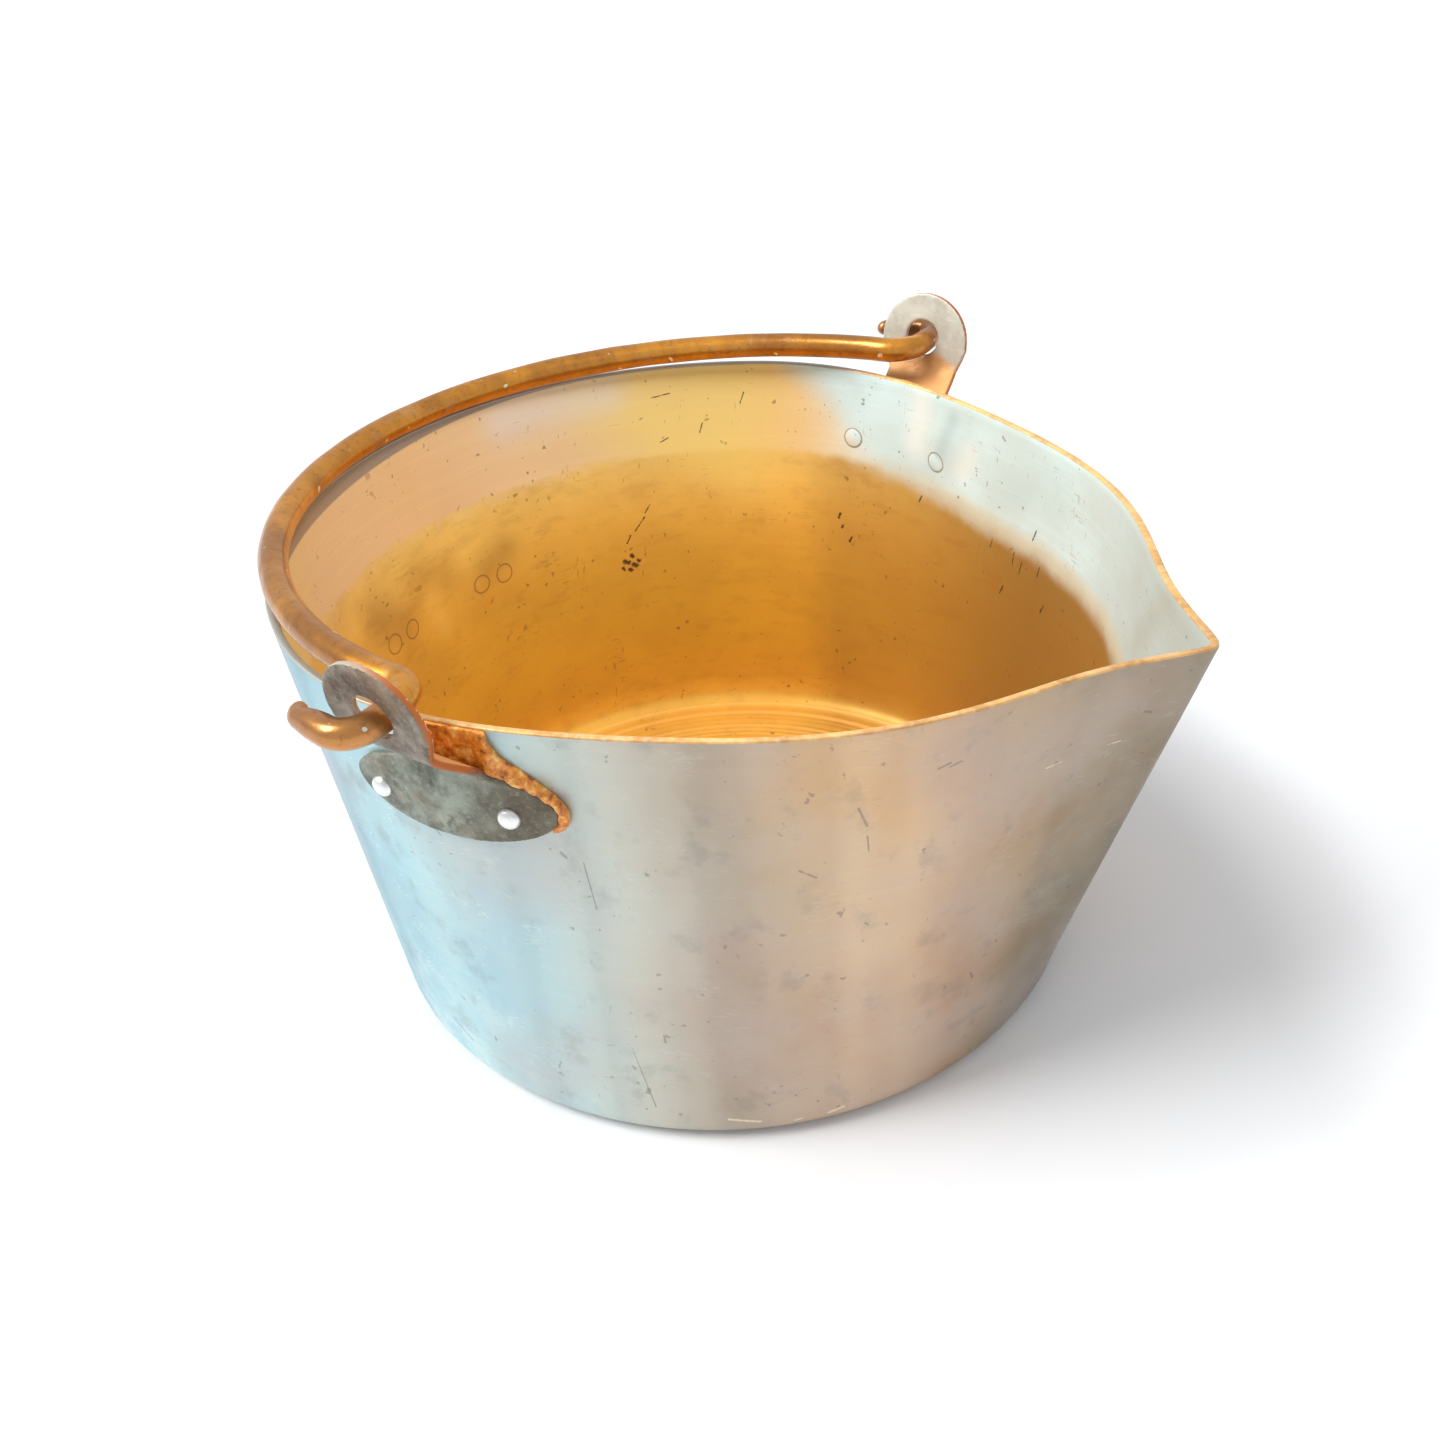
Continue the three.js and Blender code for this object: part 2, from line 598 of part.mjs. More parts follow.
place('pan_body', panBody([...rightEarRivets, ...leftEarRivets, ...tippingRivets]), panMetal);
const rightEar = rightEarGeometry(rightEarRivets);
place('bail_ear_right', rightEar, earMetal);
place('bail_ear_left', mirroredAcrossXZ(rightEar), earMetal);
rightEarRivets.forEach((rivet, i) => {
  place(`ear_rivet_right_${['back', 'front'][i]}`, rivetGeometry(rivet), rivetMetal);
});
leftEarRivets.forEach((rivet, i) => {
  place(`ear_rivet_left_${['back', 'front'][i]}`, rivetGeometry(rivet), rivetMetal);
});
place('bail_handle', bailGeometry(), bailMetal);
place('tipping_handle', tippingHandleGeometry(tippingRivets), earMetal);
tippingRivets.forEach((rivet, i) => {
  const name = ['right_inner', 'right_outer', 'left_inner', 'left_outer'][i];
  place(`tipping_rivet_${name}`, rivetGeometry(rivet), rivetMetal);
});

export default pan;
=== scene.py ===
"""Dresses a spouted preserving pan: spun sheet shell, swinging bail, riveted ears and tipping handle."""

import functools
import logging
import math
from collections.abc import Sequence
from dataclasses import dataclass, field
from enum import Enum

import bmesh
import bpy
import numpy as np
from mathutils import Matrix, Vector, noise


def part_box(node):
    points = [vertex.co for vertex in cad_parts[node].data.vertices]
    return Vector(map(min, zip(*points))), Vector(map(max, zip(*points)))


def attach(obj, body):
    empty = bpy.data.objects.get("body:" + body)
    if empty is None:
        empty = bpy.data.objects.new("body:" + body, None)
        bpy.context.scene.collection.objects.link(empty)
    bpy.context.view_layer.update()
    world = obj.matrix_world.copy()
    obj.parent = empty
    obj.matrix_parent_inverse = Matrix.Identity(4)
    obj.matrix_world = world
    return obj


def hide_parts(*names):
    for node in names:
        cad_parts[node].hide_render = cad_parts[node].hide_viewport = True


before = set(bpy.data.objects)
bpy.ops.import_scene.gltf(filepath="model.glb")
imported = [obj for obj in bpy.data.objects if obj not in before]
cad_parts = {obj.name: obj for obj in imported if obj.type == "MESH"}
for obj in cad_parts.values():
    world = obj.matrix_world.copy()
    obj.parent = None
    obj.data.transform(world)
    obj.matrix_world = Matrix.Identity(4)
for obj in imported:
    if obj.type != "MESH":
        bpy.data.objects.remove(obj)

LOG = logging.getLogger("pan")
MM = 0.001
GAP = 0.3 * MM  # room between pieces that a rivet holds together
SAME_POINT = 1e-6  # points closer than this are one point


class Side(Enum):
    """Which side of the pan an ear stands on, as the sign of Y."""

    LEFT = 1
    RIGHT = -1


class Zone(Enum):
    """The pan shell's finishes, in the order of its material slots."""

    OUTSIDE = 0
    INSIDE = 1
    RIM = 2


class EarFace(Enum):
    """An ear's finishes, in the order of its material slots."""

    OUTER = 0
    INNER = 1
    EDGE = 2


# ---------------------------------------------------------------- shapes


def smooth_step(value: np.ndarray, low: float, high: float) -> np.ndarray:
    """Eases from 0 at low to 1 at high, in either order."""
    share = np.clip((value - low) / (high - low), 0, 1)
    return share * share * (3 - 2 * share)


def lumps(points: np.ndarray, size: float, seed: float = 0.0) -> np.ndarray:
    """Smooth noise from about -1 to 1 at each point, in lumps of one size."""
    shift = Vector((seed, seed * 0.7, -seed))
    return np.array([noise.noise(Vector(p) / size + shift) for p in points])


@dataclass(frozen=True)
class PanPlan:
    """The wall that everything riveted to the pan follows, in metres."""

    rim_height: float
    rim_radius: float = 150 * MM
    foot_radius: float = 134 * MM
    foot_corner: float = 8 * MM
    wall: float = 2.5 * MM
    lip_reach: float = 32 * MM
    lip_span: float = math.radians(56)
    lip_sharpness: int = 6
    lip_nose: float = math.radians(1.2)
    flank_dip: float = 14 * MM
    flank_angle: float = math.radians(65.5)
    flank_span: float = math.radians(50)
    back_stretch: float = 3.8 * MM
    step: float = 1e-3
    rounds: int = 16

    def rim_offset(self, angle: np.ndarray) -> np.ndarray:
        """Says how far the rim stands out from a plain circle.

        Args:
            angle: Angles round the pan, 0 at the lip.

        Returns:
            Distances outward in metres.
        """
        from_lip = np.abs(np.arctan2(np.sin(angle), np.cos(angle)))
        along = (np.hypot(from_lip, self.lip_nose) - self.lip_nose) / self.lip_span
        lip = self.lip_reach * (1 - np.minimum(along, 1)) ** self.lip_sharpness
        flank = np.clip((from_lip - self.flank_angle) / self.flank_span, -1, 1)
        dip = self.flank_dip * np.cos(flank * math.pi / 2) ** 2
        behind = np.where(from_lip > math.pi / 2, np.cos(from_lip) ** 2, 0)
        return lip - dip + self.back_stretch * behind

    def taper(self, height: np.ndarray) -> np.ndarray:
        """Radius of the plain tapered wall at a height."""
        return self.foot_radius + (self.rim_radius - self.foot_radius) * height / self.rim_height

    def radius(self, angle: np.ndarray, height: np.ndarray) -> np.ndarray:
        """Outer radius of the pressed wall at each angle and height."""
        rise = np.maximum((height - self.foot_corner) / (self.rim_height - self.foot_corner), 0)
        return self.taper(height) + self.rim_offset(angle) * rise

    def point(self, angle: np.ndarray, height: np.ndarray, outward: np.ndarray) -> np.ndarray:
        """Points on the wall, moved square to its plan outline.

        Args:
            angle: Angles round the pan.
            height: Heights above the table.
            outward: Distances outside the outer face.

        Returns:
            One row of x, y, z for each point.
        """
        radius = self.radius(angle, height)
        ahead, behind = self.radius(angle + self.step, height), self.radius(angle - self.step, height)
        slope = (ahead - behind) / (2 * self.step)
        length = np.hypot(radius, slope)
        c, s = np.cos(angle), np.sin(angle)
        x = radius * c + outward * (radius * c + slope * s) / length
        y = radius * s + outward * (radius * s - slope * c) / length
        return np.stack([x, y, height + 0 * x], -1)

    def angle_at_x(self, x: np.ndarray, side: Side, height: np.ndarray) -> np.ndarray:
        """Finds where the wall passes an x on one side.

        Args:
            x: Places along the pan.
            side: The side of the pan.
            height: Heights above the table.

        Returns:
            Angles round the pan.
        """
        angle = np.full(np.shape(x + height), side.value * math.pi / 2)
        for _ in range(self.rounds):
            angle = side.value * np.arccos(np.clip(x / self.radius(angle, height), -1, 1))
        return angle

    def back_angle_at_y(self, y: np.ndarray, height: np.ndarray) -> np.ndarray:
        """Finds where the back of the wall passes a y.

        Args:
            y: Places across the pan.
            height: Heights above the table.

        Returns:
            Angles round the pan.
        """
        angle = np.full(np.shape(y + height), math.pi)
        for _ in range(self.rounds):
            angle = math.pi - np.arcsin(np.clip(y / self.radius(angle, height), -1, 1))
        return angle

    def seat(self, angle: float, height: float, outward: float = 0.0) -> Vector:
        """One point on the wall, or outside its outer face."""
        return Vector(self.point(np.array([angle]), np.array([height]), outward)[0])

    def normal(self, angle: float, height: float) -> Vector:
        """The wall's outward direction at one place."""
        around = self.seat(angle + self.step, height) - self.seat(angle - self.step, height)
        return around.cross(self.seat(angle, height + MM) - self.seat(angle, height - MM)).normalized()


def points_of(mesh: bpy.types.Mesh) -> np.ndarray:
    """Reads a mesh's points.

    Args:
        mesh: The mesh.

    Returns:
        One row for each point.
    """
    flat = np.zeros(len(mesh.vertices) * 3)
    mesh.vertices.foreach_get("co", flat)
    return flat.reshape(-1, 3)


def move_points(mesh: bpy.types.Mesh, points: np.ndarray) -> None:
    """Writes new places for a mesh's points."""
    mesh.vertices.foreach_set("co", points.reshape(-1))
    mesh.update()


def normals_of(mesh: bpy.types.Mesh) -> np.ndarray:
    """Reads a mesh's point normals.

    Args:
        mesh: The mesh.

    Returns:
        One row for each point.
    """
    flat = np.zeros(len(mesh.vertices) * 3)
    mesh.vertex_normals.foreach_get("vector", flat)
    return flat.reshape(-1, 3)


def as_object(name: str, mesh: bpy.types.Mesh) -> bpy.types.Object:
    """Places a mesh in the scene, smooth shaded.

    Args:
        name: The piece's name.
        mesh: Its mesh, in the frame's own place.

    Returns:
        The new object.
    """
    for polygon in mesh.polygons:
        polygon.use_smooth = True
    piece = bpy.data.objects.new(name, mesh)
    bpy.context.scene.collection.objects.link(piece)
    return piece


def from_bmesh(name: str, bm: bmesh.types.BMesh) -> bpy.types.Object:
    """Turns a bmesh into an object, with its faces turned outward.

    Args:
        name: The piece's name.
        bm: The bmesh, which is freed.

    Returns:
        The new object.
    """
    bmesh.ops.recalc_face_normals(bm, faces=bm.faces)
    mesh = bpy.data.meshes.new(name)
    bm.to_mesh(mesh)
    bm.free()
    return as_object(name, mesh)


def settle(piece: bpy.types.Object) -> bpy.types.Object:
    """Applies a piece's modifiers to its mesh.

    Args:
        piece: The object to settle.

    Returns:
        The same object, with no modifiers.
    """
    view = bpy.context.evaluated_depsgraph_get()
    mesh = bpy.data.meshes.new_from_object(piece.evaluated_get(view))
    piece.modifiers.clear()
    piece.data = mesh
    for polygon in mesh.polygons:
        polygon.use_smooth = True
    return piece


def soften(piece: bpy.types.Object, rounds: int = 0) -> None:
    """Smooths a piece's points and turns its faces outward.

    Args:
        piece: The object to work on.
        rounds: How many times the points are smoothed.
    """
    bm = bmesh.new()
    bm.from_mesh(piece.data)
    every_axis = {"use_axis_x": True, "use_axis_y": True, "use_axis_z": True}
    for _ in range(rounds):
        bmesh.ops.smooth_vert(bm, verts=bm.verts, factor=0.5, **every_axis)
    bmesh.ops.recalc_face_normals(bm, faces=bm.faces)
    bm.to_mesh(piece.data)
    bm.free()


def remesh(piece: bpy.types.Object, size: float, rounds: int) -> bpy.types.Object:
    """Rebuilds a piece as one even skin and softens its edges.

    Args:
        piece: A closed piece, which may be several overlapping bodies.
        size: Edge length of the new skin.
        rounds: How many times the skin is smoothed.

    Returns:
        The same object.
    """
    modifier = piece.modifiers.new("skin", "REMESH")
    modifier.mode, modifier.voxel_size = "VOXEL", size
    soften(settle(piece), rounds)
    return piece


def joined(name: str, pieces: list[bpy.types.Object]) -> bpy.types.Object:
    """Joins several objects into one.

    Args:
        name: The new piece's name.
        pieces: Objects to join, which are removed.

    Returns:
        The joined object.
    """
    bm = bmesh.new()
    for piece in pieces:
        bm.from_mesh(piece.data)
        bpy.data.objects.remove(piece)
    return from_bmesh(name, bm)


def combine(piece: bpy.types.Object, others: list[bpy.types.Object], operation: str) -> None:
    """Adds other closed objects to a piece, or cuts them out of it.

    Args:
        piece: The object that is changed.
        others: The shapes added or taken away, which are removed.
        operation: "UNION" or "DIFFERENCE".
    """
    for other in others:
        modifier = piece.modifiers.new("combine", "BOOLEAN")
        modifier.operation, modifier.solver, modifier.object = operation, "EXACT", other
    settle(piece)
    for other in others:
        bpy.data.objects.remove(other)


def section(corners: list[tuple[float, float]]) -> tuple[bmesh.types.BMesh, list[bmesh.types.BMVert]]:
    """Draws an open outline in X and Z, ready to be spun about Z.

    Args:
        corners: Its corners (radius, height) in order.

    Returns:
        The outline and its corner points.
    """
    bm = bmesh.new()
    verts = [bm.verts.new((r, 0, z)) for r, z in corners]
    for pair in zip(verts, verts[1:]):
        bm.edges.new(pair)
    return bm, verts


def round_corners(bm: bmesh.types.BMesh, verts: list[bmesh.types.BMVert], radius: float,
                  segments: int) -> None:
    """Rounds some corners of an outline."""
    bmesh.ops.bevel(bm, geom=verts, offset=radius, offset_type="OFFSET", affect="VERTICES", segments=segments,
                    profile=0.5, material=-1)


def spin(bm: bmesh.types.BMesh, steps: int) -> None:
    """Spins an outline a full turn about Z into a closed shape.

    Args:
        bm: The outline, changed in place.
        steps: Faces around.
    """
    bmesh.ops.spin(bm, geom=bm.verts[:] + bm.edges[:], cent=(0, 0, 0), axis=(0, 0, 1), dvec=(0, 0, 0),
                   angle=2 * math.pi, steps=steps, use_merge=True, use_duplicate=False)
    bmesh.ops.remove_doubles(bm, verts=bm.verts, dist=SAME_POINT)


def plate_from_outline(outline: list[tuple[float, float]], thickness: float) -> bpy.types.Object:
    """Makes a flat plate that stands in X and Z, with its thickness along Y.

    Args:
        outline: Corner points (x, z).
        thickness: Plate thickness.

    Returns:
        A closed plate.
    """
    bm = bmesh.new()
    corners = [bm.verts.new((x, -thickness / 2, z)) for x, z in outline]
    face = bm.faces.new(corners)
    grown = bmesh.ops.extrude_face_region(bm, geom=[face])
    moved = [item for item in grown["geom"] if isinstance(item, bmesh.types.BMVert)]
    bmesh.ops.translate(bm, verts=moved, vec=(0, thickness, 0))
    return from_bmesh("plate", bm)


def oval_plate(centre: tuple[float, float], half: tuple[float, float], thickness: float) -> bpy.types.Object:
    """Makes a flat oval plate that stands in X and Z.

    Args:
        centre: Its middle (x, z).
        half: Half its length and half its height.
        thickness: Plate thickness.

    Returns:
        A closed plate.
    """
    bm = bmesh.new()
    bmesh.ops.create_cone(bm, cap_ends=True, segments=96, radius1=1, radius2=1, depth=thickness)
    turn = Matrix.Rotation(math.pi / 2, 4, "X")
    bmesh.ops.transform(bm, verts=bm.verts, matrix=turn)
    bmesh.ops.scale(bm, verts=bm.verts, vec=(half[0], 1, half[1]))
    bmesh.ops.translate(bm, verts=bm.verts, vec=(centre[0], 0, centre[1]))
    return from_bmesh("oval", bm)


def rod(name: str, path: list[Vector], radii: list[float], sides: int = 8) -> bpy.types.Object:
    """Makes a round rod along a path, closed at both ends.

    Args:
        name: The piece's name.
        path: Points along the rod's middle.
        radii: The rod's radius at each point.
        sides: Bevel resolution, a quarter of the number of sides less one.

    Returns:
        The rod as a mesh object.
    """
    curve = bpy.data.curves.new(name, "CURVE")
    curve.dimensions, curve.twist_mode = "3D", "MINIMUM"
    curve.bevel_depth, curve.bevel_resolution, curve.use_fill_caps = 1.0, sides, True
    spline = curve.splines.new("POLY")
    spline.points.add(len(path) - 1)
    for point, place, radius in zip(spline.points, path, radii):
        point.co, point.radius = (*place, 1), radius
    holder = bpy.data.objects.new(name, curve)
    bpy.context.scene.collection.objects.link(holder)
    mesh = bpy.data.meshes.new_from_object(holder.evaluated_get(bpy.context.evaluated_depsgraph_get()))
    bpy.data.objects.remove(holder)
    bm = bmesh.new()
    bm.from_mesh(mesh)
    bmesh.ops.remove_doubles(bm, verts=bm.verts, dist=SAME_POINT)
    return from_bmesh(name, bm)


def arc(corner: Vector, before: Vector, after: Vector, radius: float, steps: int = 12) -> list[Vector]:
    """Rounds one corner of a path.

    Args:
        corner: The sharp corner.
        before: The point that the path comes from.
        after: The point that it goes to.
        radius: Radius of the bend.
        steps: How many points the bend has.

    Returns:
        Points along the bend.
    """
    back, ahead = (before - corner).normalized(), (after - corner).normalized()
    half = back.angle(ahead) / 2
    centre = corner + (back + ahead).normalized() * (radius / math.sin(half))
    start = corner + back * (radius / math.tan(half)) - centre
    end = corner + ahead * (radius / math.tan(half)) - centre
    axis = start.cross(end).normalized()
    turn = start.angle(end)
    return [centre + Matrix.Rotation(turn * i / steps, 3, axis) @ start for i in range(steps + 1)]


def bent_path(corners: list[tuple[Vector, float]], step: float) -> list[Vector]:
    """Joins corner points by straight runs and round bends.

    Args:
        corners: Points, each with its bend radius, 0 at both ends.
        step: Spacing of the points along straight runs.

    Returns:
        Points along the path.
    """
    path = [corners[0][0]]
    for i in range(1, len(corners)):
        place, radius = corners[i]
        last = i == len(corners) - 1
        bend = [place] if last else arc(place, corners[i - 1][0], corners[i + 1][0], radius)
        run = bend[0] - path[-1]
        cuts = max(int(run.length / step), 1)
        path += [path[-1] + run * (k / cuts) for k in range(1, cuts)] + bend
    return path


# ---------------------------------------------------------------- shader helpers


Colour = tuple[float, float, float, float]
Display = tuple[int, int, int]
Stops = list[tuple[float, int, int, int]]


def tint(*display: int) -> Colour:
    """Turns red, green and blue from 0 to 255 into a linear colour."""
    shares = [value / 255 for value in display]
    return (*(s / 12.92 if s <= 0.04045 else ((s + 0.055) / 1.055) ** 2.4 for s in shares), 1.0)


class Wiring:
    """Adds and joins shader nodes in one tree."""

    def __init__(self, tree: bpy.types.NodeTree) -> None:
        """Works on one node tree."""
        self.tree = tree

    def node(self, kind: str, **settings: object) -> bpy.types.Node:
        """Adds a node and sets its options.

        Args:
            kind: Node type name.
            settings: Options by name.

        Returns:
            The new node.
        """
        made = self.tree.nodes.new(kind)
        for name, value in settings.items():
            setattr(made, name, value)
        return made

    def feed(self, socket: bpy.types.NodeSocket, value: object) -> None:
        """Links a socket, or sets its number or colour.

        Args:
            socket: The input to set.
            value: Another socket, a number or a colour.
        """
        if isinstance(value, bpy.types.NodeSocket):
            self.tree.links.new(value, socket)
        else:
            socket.default_value = value

    def math(self, operation: str, *values: object) -> bpy.types.NodeSocket:
        """Works out one number.

        Args:
            operation: Name of the operation.
            values: Numbers or sockets.

        Returns:
            The result's socket.
        """
        made = self.node("ShaderNodeMath", operation=operation)
        for socket, value in zip(made.inputs, values):
            self.feed(socket, value)
        return made.outputs[0]

    def times(self, first: object, second: object) -> bpy.types.NodeSocket:
        """Multiplies two numbers."""
        return self.math("MULTIPLY", first, second)

    def ease(self, value: object, low: float, high: float) -> bpy.types.NodeSocket:
        """Eases from 0 at low to 1 at high, in either order.

        Args:
            value: The number's socket.
            low: Where the result is 0.
            high: Where the result is 1.

        Returns:
            The result's socket.
        """
        made = self.node("ShaderNodeMapRange", interpolation_type="SMOOTHSTEP")
        ends = (low, high, 0.0, 1.0) if low < high else (high, low, 1.0, 0.0)
        for socket, item in zip(made.inputs, (value, *ends)):
            self.feed(socket, item)
        return made.outputs["Result"]

    def level(self, value: object, low: float, high: float) -> bpy.types.NodeSocket:
        """Turns 0 to 1 into low to high.

        Args:
            value: The number's socket.
            low: Result at 0.
            high: Result at 1.

        Returns:
            The result's socket.
        """
        made = self.node("ShaderNodeMapRange")
        for socket, item in zip(made.inputs, (value, 0.0, 1.0, low, high)):
            self.feed(socket, item)
        return made.outputs["Result"]

    def mix(self, share: object, first: object, second: object, blend: str = "MIX") -> bpy.types.NodeSocket:
        """Mixes two colours.

        Args:
            share: How much of the second.
            first: First colour.
            second: Second colour.
            blend: Blend mode.

        Returns:
            The mixed colour's socket.
        """
        made = self.node("ShaderNodeMix", data_type="RGBA", blend_type=blend)
        for index, value in ((0, share), (6, first), (7, second)):
            self.feed(made.inputs[index], value)
        return made.outputs[2]

    def wash(self, base: object, mask: object, strength: float, colour: Display,
             blend: str = "MIX") -> bpy.types.NodeSocket:
        """Lays a colour over another through a mask.

        Args:
            base: The colour so far.
            mask: Where the wash lies, from 0 to 1.
            strength: How strong it is where the mask is 1.
            colour: The wash's red, green and blue.
            blend: Blend mode.

        Returns:
            The new colour's socket.
        """
        return self.mix(self.times(mask, strength), base, tint(*colour), blend)

    def ramp(self, share: object, stops: Stops) -> bpy.types.NodeSocket:
        """Reads a colour off a ramp.

        Args:
            share: Place along the ramp.
            stops: Places, each with its red, green and blue.

        Returns:
            The colour's socket.
        """
        made = self.node("ShaderNodeValToRGB")
        made.color_ramp.interpolation = "B_SPLINE" if len(stops) > 4 else "EASE"
        elements = made.color_ramp.elements
        for element, (place, *colour) in zip(elements, (stops[0], stops[-1])):
            element.position, element.color = place, tint(*colour)
        for place, *colour in stops[1:-1]:
            elements.new(place).color = tint(*colour)
        self.feed(made.inputs[0], share)
        return made.outputs["Color"]

    def noise(self, place: object, scale: float, detail: float = 3.0,
              rough: float = 0.5) -> bpy.types.NodeSocket:
        """Soft noise from about 0.3 to 0.7.

        Args:
            place: Where to read it.
            scale: Lumps per metre.
            detail: Octaves.
            rough: Strength of the fine octaves.

        Returns:
            The noise's socket.
        """
        made = self.node("ShaderNodeTexNoise")
        for name, value in (("Vector", place), ("Scale", scale), ("Detail", detail), ("Roughness", rough)):
            self.feed(made.inputs[name], value)
        return made.outputs[0]

    def patches(self, place: object, low: float, high: float, *noise: float) -> bpy.types.NodeSocket:
        """Noise with the given scale, detail and roughness, eased from 0 at low to 1 at high."""
        return self.ease(self.noise(place, *noise), low, high)

    def add(self, first: object, second: object) -> bpy.types.NodeSocket:
        """Adds two numbers."""
        return self.math("ADD", first, second)

    def rings(self, value: object, scale: float, detail: float) -> bpy.types.NodeSocket:
        """Noise along one number.

        Args:
            value: The number's socket.
            scale: Lumps per unit of the number.
            detail: Octaves.

        Returns:
            The noise's socket.
        """
        made = self.node("ShaderNodeTexNoise", noise_dimensions="1D")
        for name, item in (("W", value), ("Scale", scale), ("Detail", detail)):
            self.feed(made.inputs[name], item)
        return made.outputs[0]

    def stretch(self, place: object, scale: tuple[float, float, float],
                turn: tuple[float, float, float] = (0.0, 0.0, 0.0)) -> bpy.types.NodeSocket:
        """Stretches and turns a place, for streaks.

        Args:
            place: Where the shader is.
            scale: Stretch along each axis.
            turn: Turn about each axis in radians.

        Returns:
            The new place's socket.
        """
        made = self.node("ShaderNodeMapping")
        self.feed(made.inputs["Vector"], place)
        made.inputs["Rotation"].default_value = turn
        made.inputs["Scale"].default_value = scale
        return made.outputs[0]

    def group(self, tree: bpy.types.NodeTree, **inputs: object) -> bpy.types.Node:
        """Places a node group.

        Args:
            tree: The group's tree.
            inputs: Values by input name.

        Returns:
            The group's node.
        """
        made = self.node("ShaderNodeGroup")
        made.node_tree = tree
        for name, value in inputs.items():
            self.feed(made.inputs[name.replace("_", " ")], value)
        return made

    def place(self) -> bpy.types.NodeSocket:
        """The point's own place in the frame."""
        return self.node("ShaderNodeTexCoord").outputs["Object"]


def new_group(name: str, inputs: dict[str, float | str],
              outputs: tuple[str, ...]) -> tuple[Wiring, dict, dict]:
    """Starts a node group.

    Args:
        name: The group's name.
        inputs: Input names, each with its default number or "vector".
        outputs: Names of the output values.

    Returns:
        The wiring, the input sockets by name, and the output sockets by name.
    """
    tree = bpy.data.node_groups.new(name, "ShaderNodeTree")
    for label, value in inputs.items():
        kind = "NodeSocketVector" if value == "vector" else "NodeSocketFloat"
        socket = tree.interface.new_socket(name=label, in_out="INPUT", socket_type=kind)
        if value != "vector":
            socket.default_value = value
    for label in outputs:
        tree.interface.new_socket(name=label, in_out="OUTPUT", socket_type="NodeSocketFloat")
    start, end = tree.nodes.new("NodeGroupInput"), tree.nodes.new("NodeGroupOutput")
    return Wiring(tree), {s.name: s for s in start.outputs}, {s.name: s for s in end.inputs}


@functools.lru_cache(maxsize=None)
def wall_place() -> bpy.types.NodeTree:
    """Builds the group that says where a point lies on the pan.

    Returns:
        A group giving degrees from the lip, height and radius in millimetres.
    """
    wires, given, made = new_group("wall_place", {"Place": "vector"}, ("From Lip", "Height", "Radius"))
    parts = wires.node("ShaderNodeSeparateXYZ")
    wires.feed(parts.inputs[0], given["Place"])
    angle = wires.math("ARCTAN2", parts.outputs[1], parts.outputs[0])
    wires.feed(made["From Lip"], wires.math("DEGREES", wires.math("ABSOLUTE", angle)))
    wires.feed(made["Height"], wires.math("DIVIDE", parts.outputs[2], MM))
    flat = wires.node("ShaderNodeCombineXYZ")
    wires.feed(flat.inputs[0], parts.outputs[0])
    wires.feed(flat.inputs[1], parts.outputs[1])
    length = wires.node("ShaderNodeVectorMath", operation="LENGTH")
    wires.feed(length.inputs[0], flat.outputs[0])
    wires.feed(made["Radius"], wires.math("DIVIDE", length.outputs["Value"], MM))
    return wires.tree


@functools.lru_cache(maxsize=None)
def worn_grain() -> bpy.types.NodeTree:
    """Builds the group for spun and rubbed metal.

    Returns:
        A group giving fine streaks that run round the pan, cloudy stains, and sparse pits.
    """
    wires, given, made = new_group(
        "worn_grain", {"Place": "vector", "Cloud Scale": 22.0, "Pit Scale": 260.0},
        ("Streaks", "Clouds", "Pits"))
    fine = wires.noise(wires.stretch(given["Place"], (30, 30, 1500)), 1.0, 4.0, 0.6)
    broad = wires.noise(wires.stretch(given["Place"], (9, 9, 260)), 1.0, 3.0, 0.5)
    wires.feed(made["Streaks"], wires.level(wires.add(fine, broad), -0.5, 0.5))
    soft = wires.noise(given["Place"], given["Cloud Scale"], 4.0, 0.55)
    wires.feed(made["Clouds"], wires.ease(soft, 0.3, 0.7))
    spots = wires.noise(given["Place"], given["Pit Scale"], 2.0, 0.5)
    patchy = wires.noise(given["Place"], 30.0, 2.0, 0.5)
    worn = wires.add(spots, wires.level(patchy, -0.12, 0.12))
    wires.feed(made["Pits"], wires.ease(worn, 0.7, 0.76))
    return wires.tree


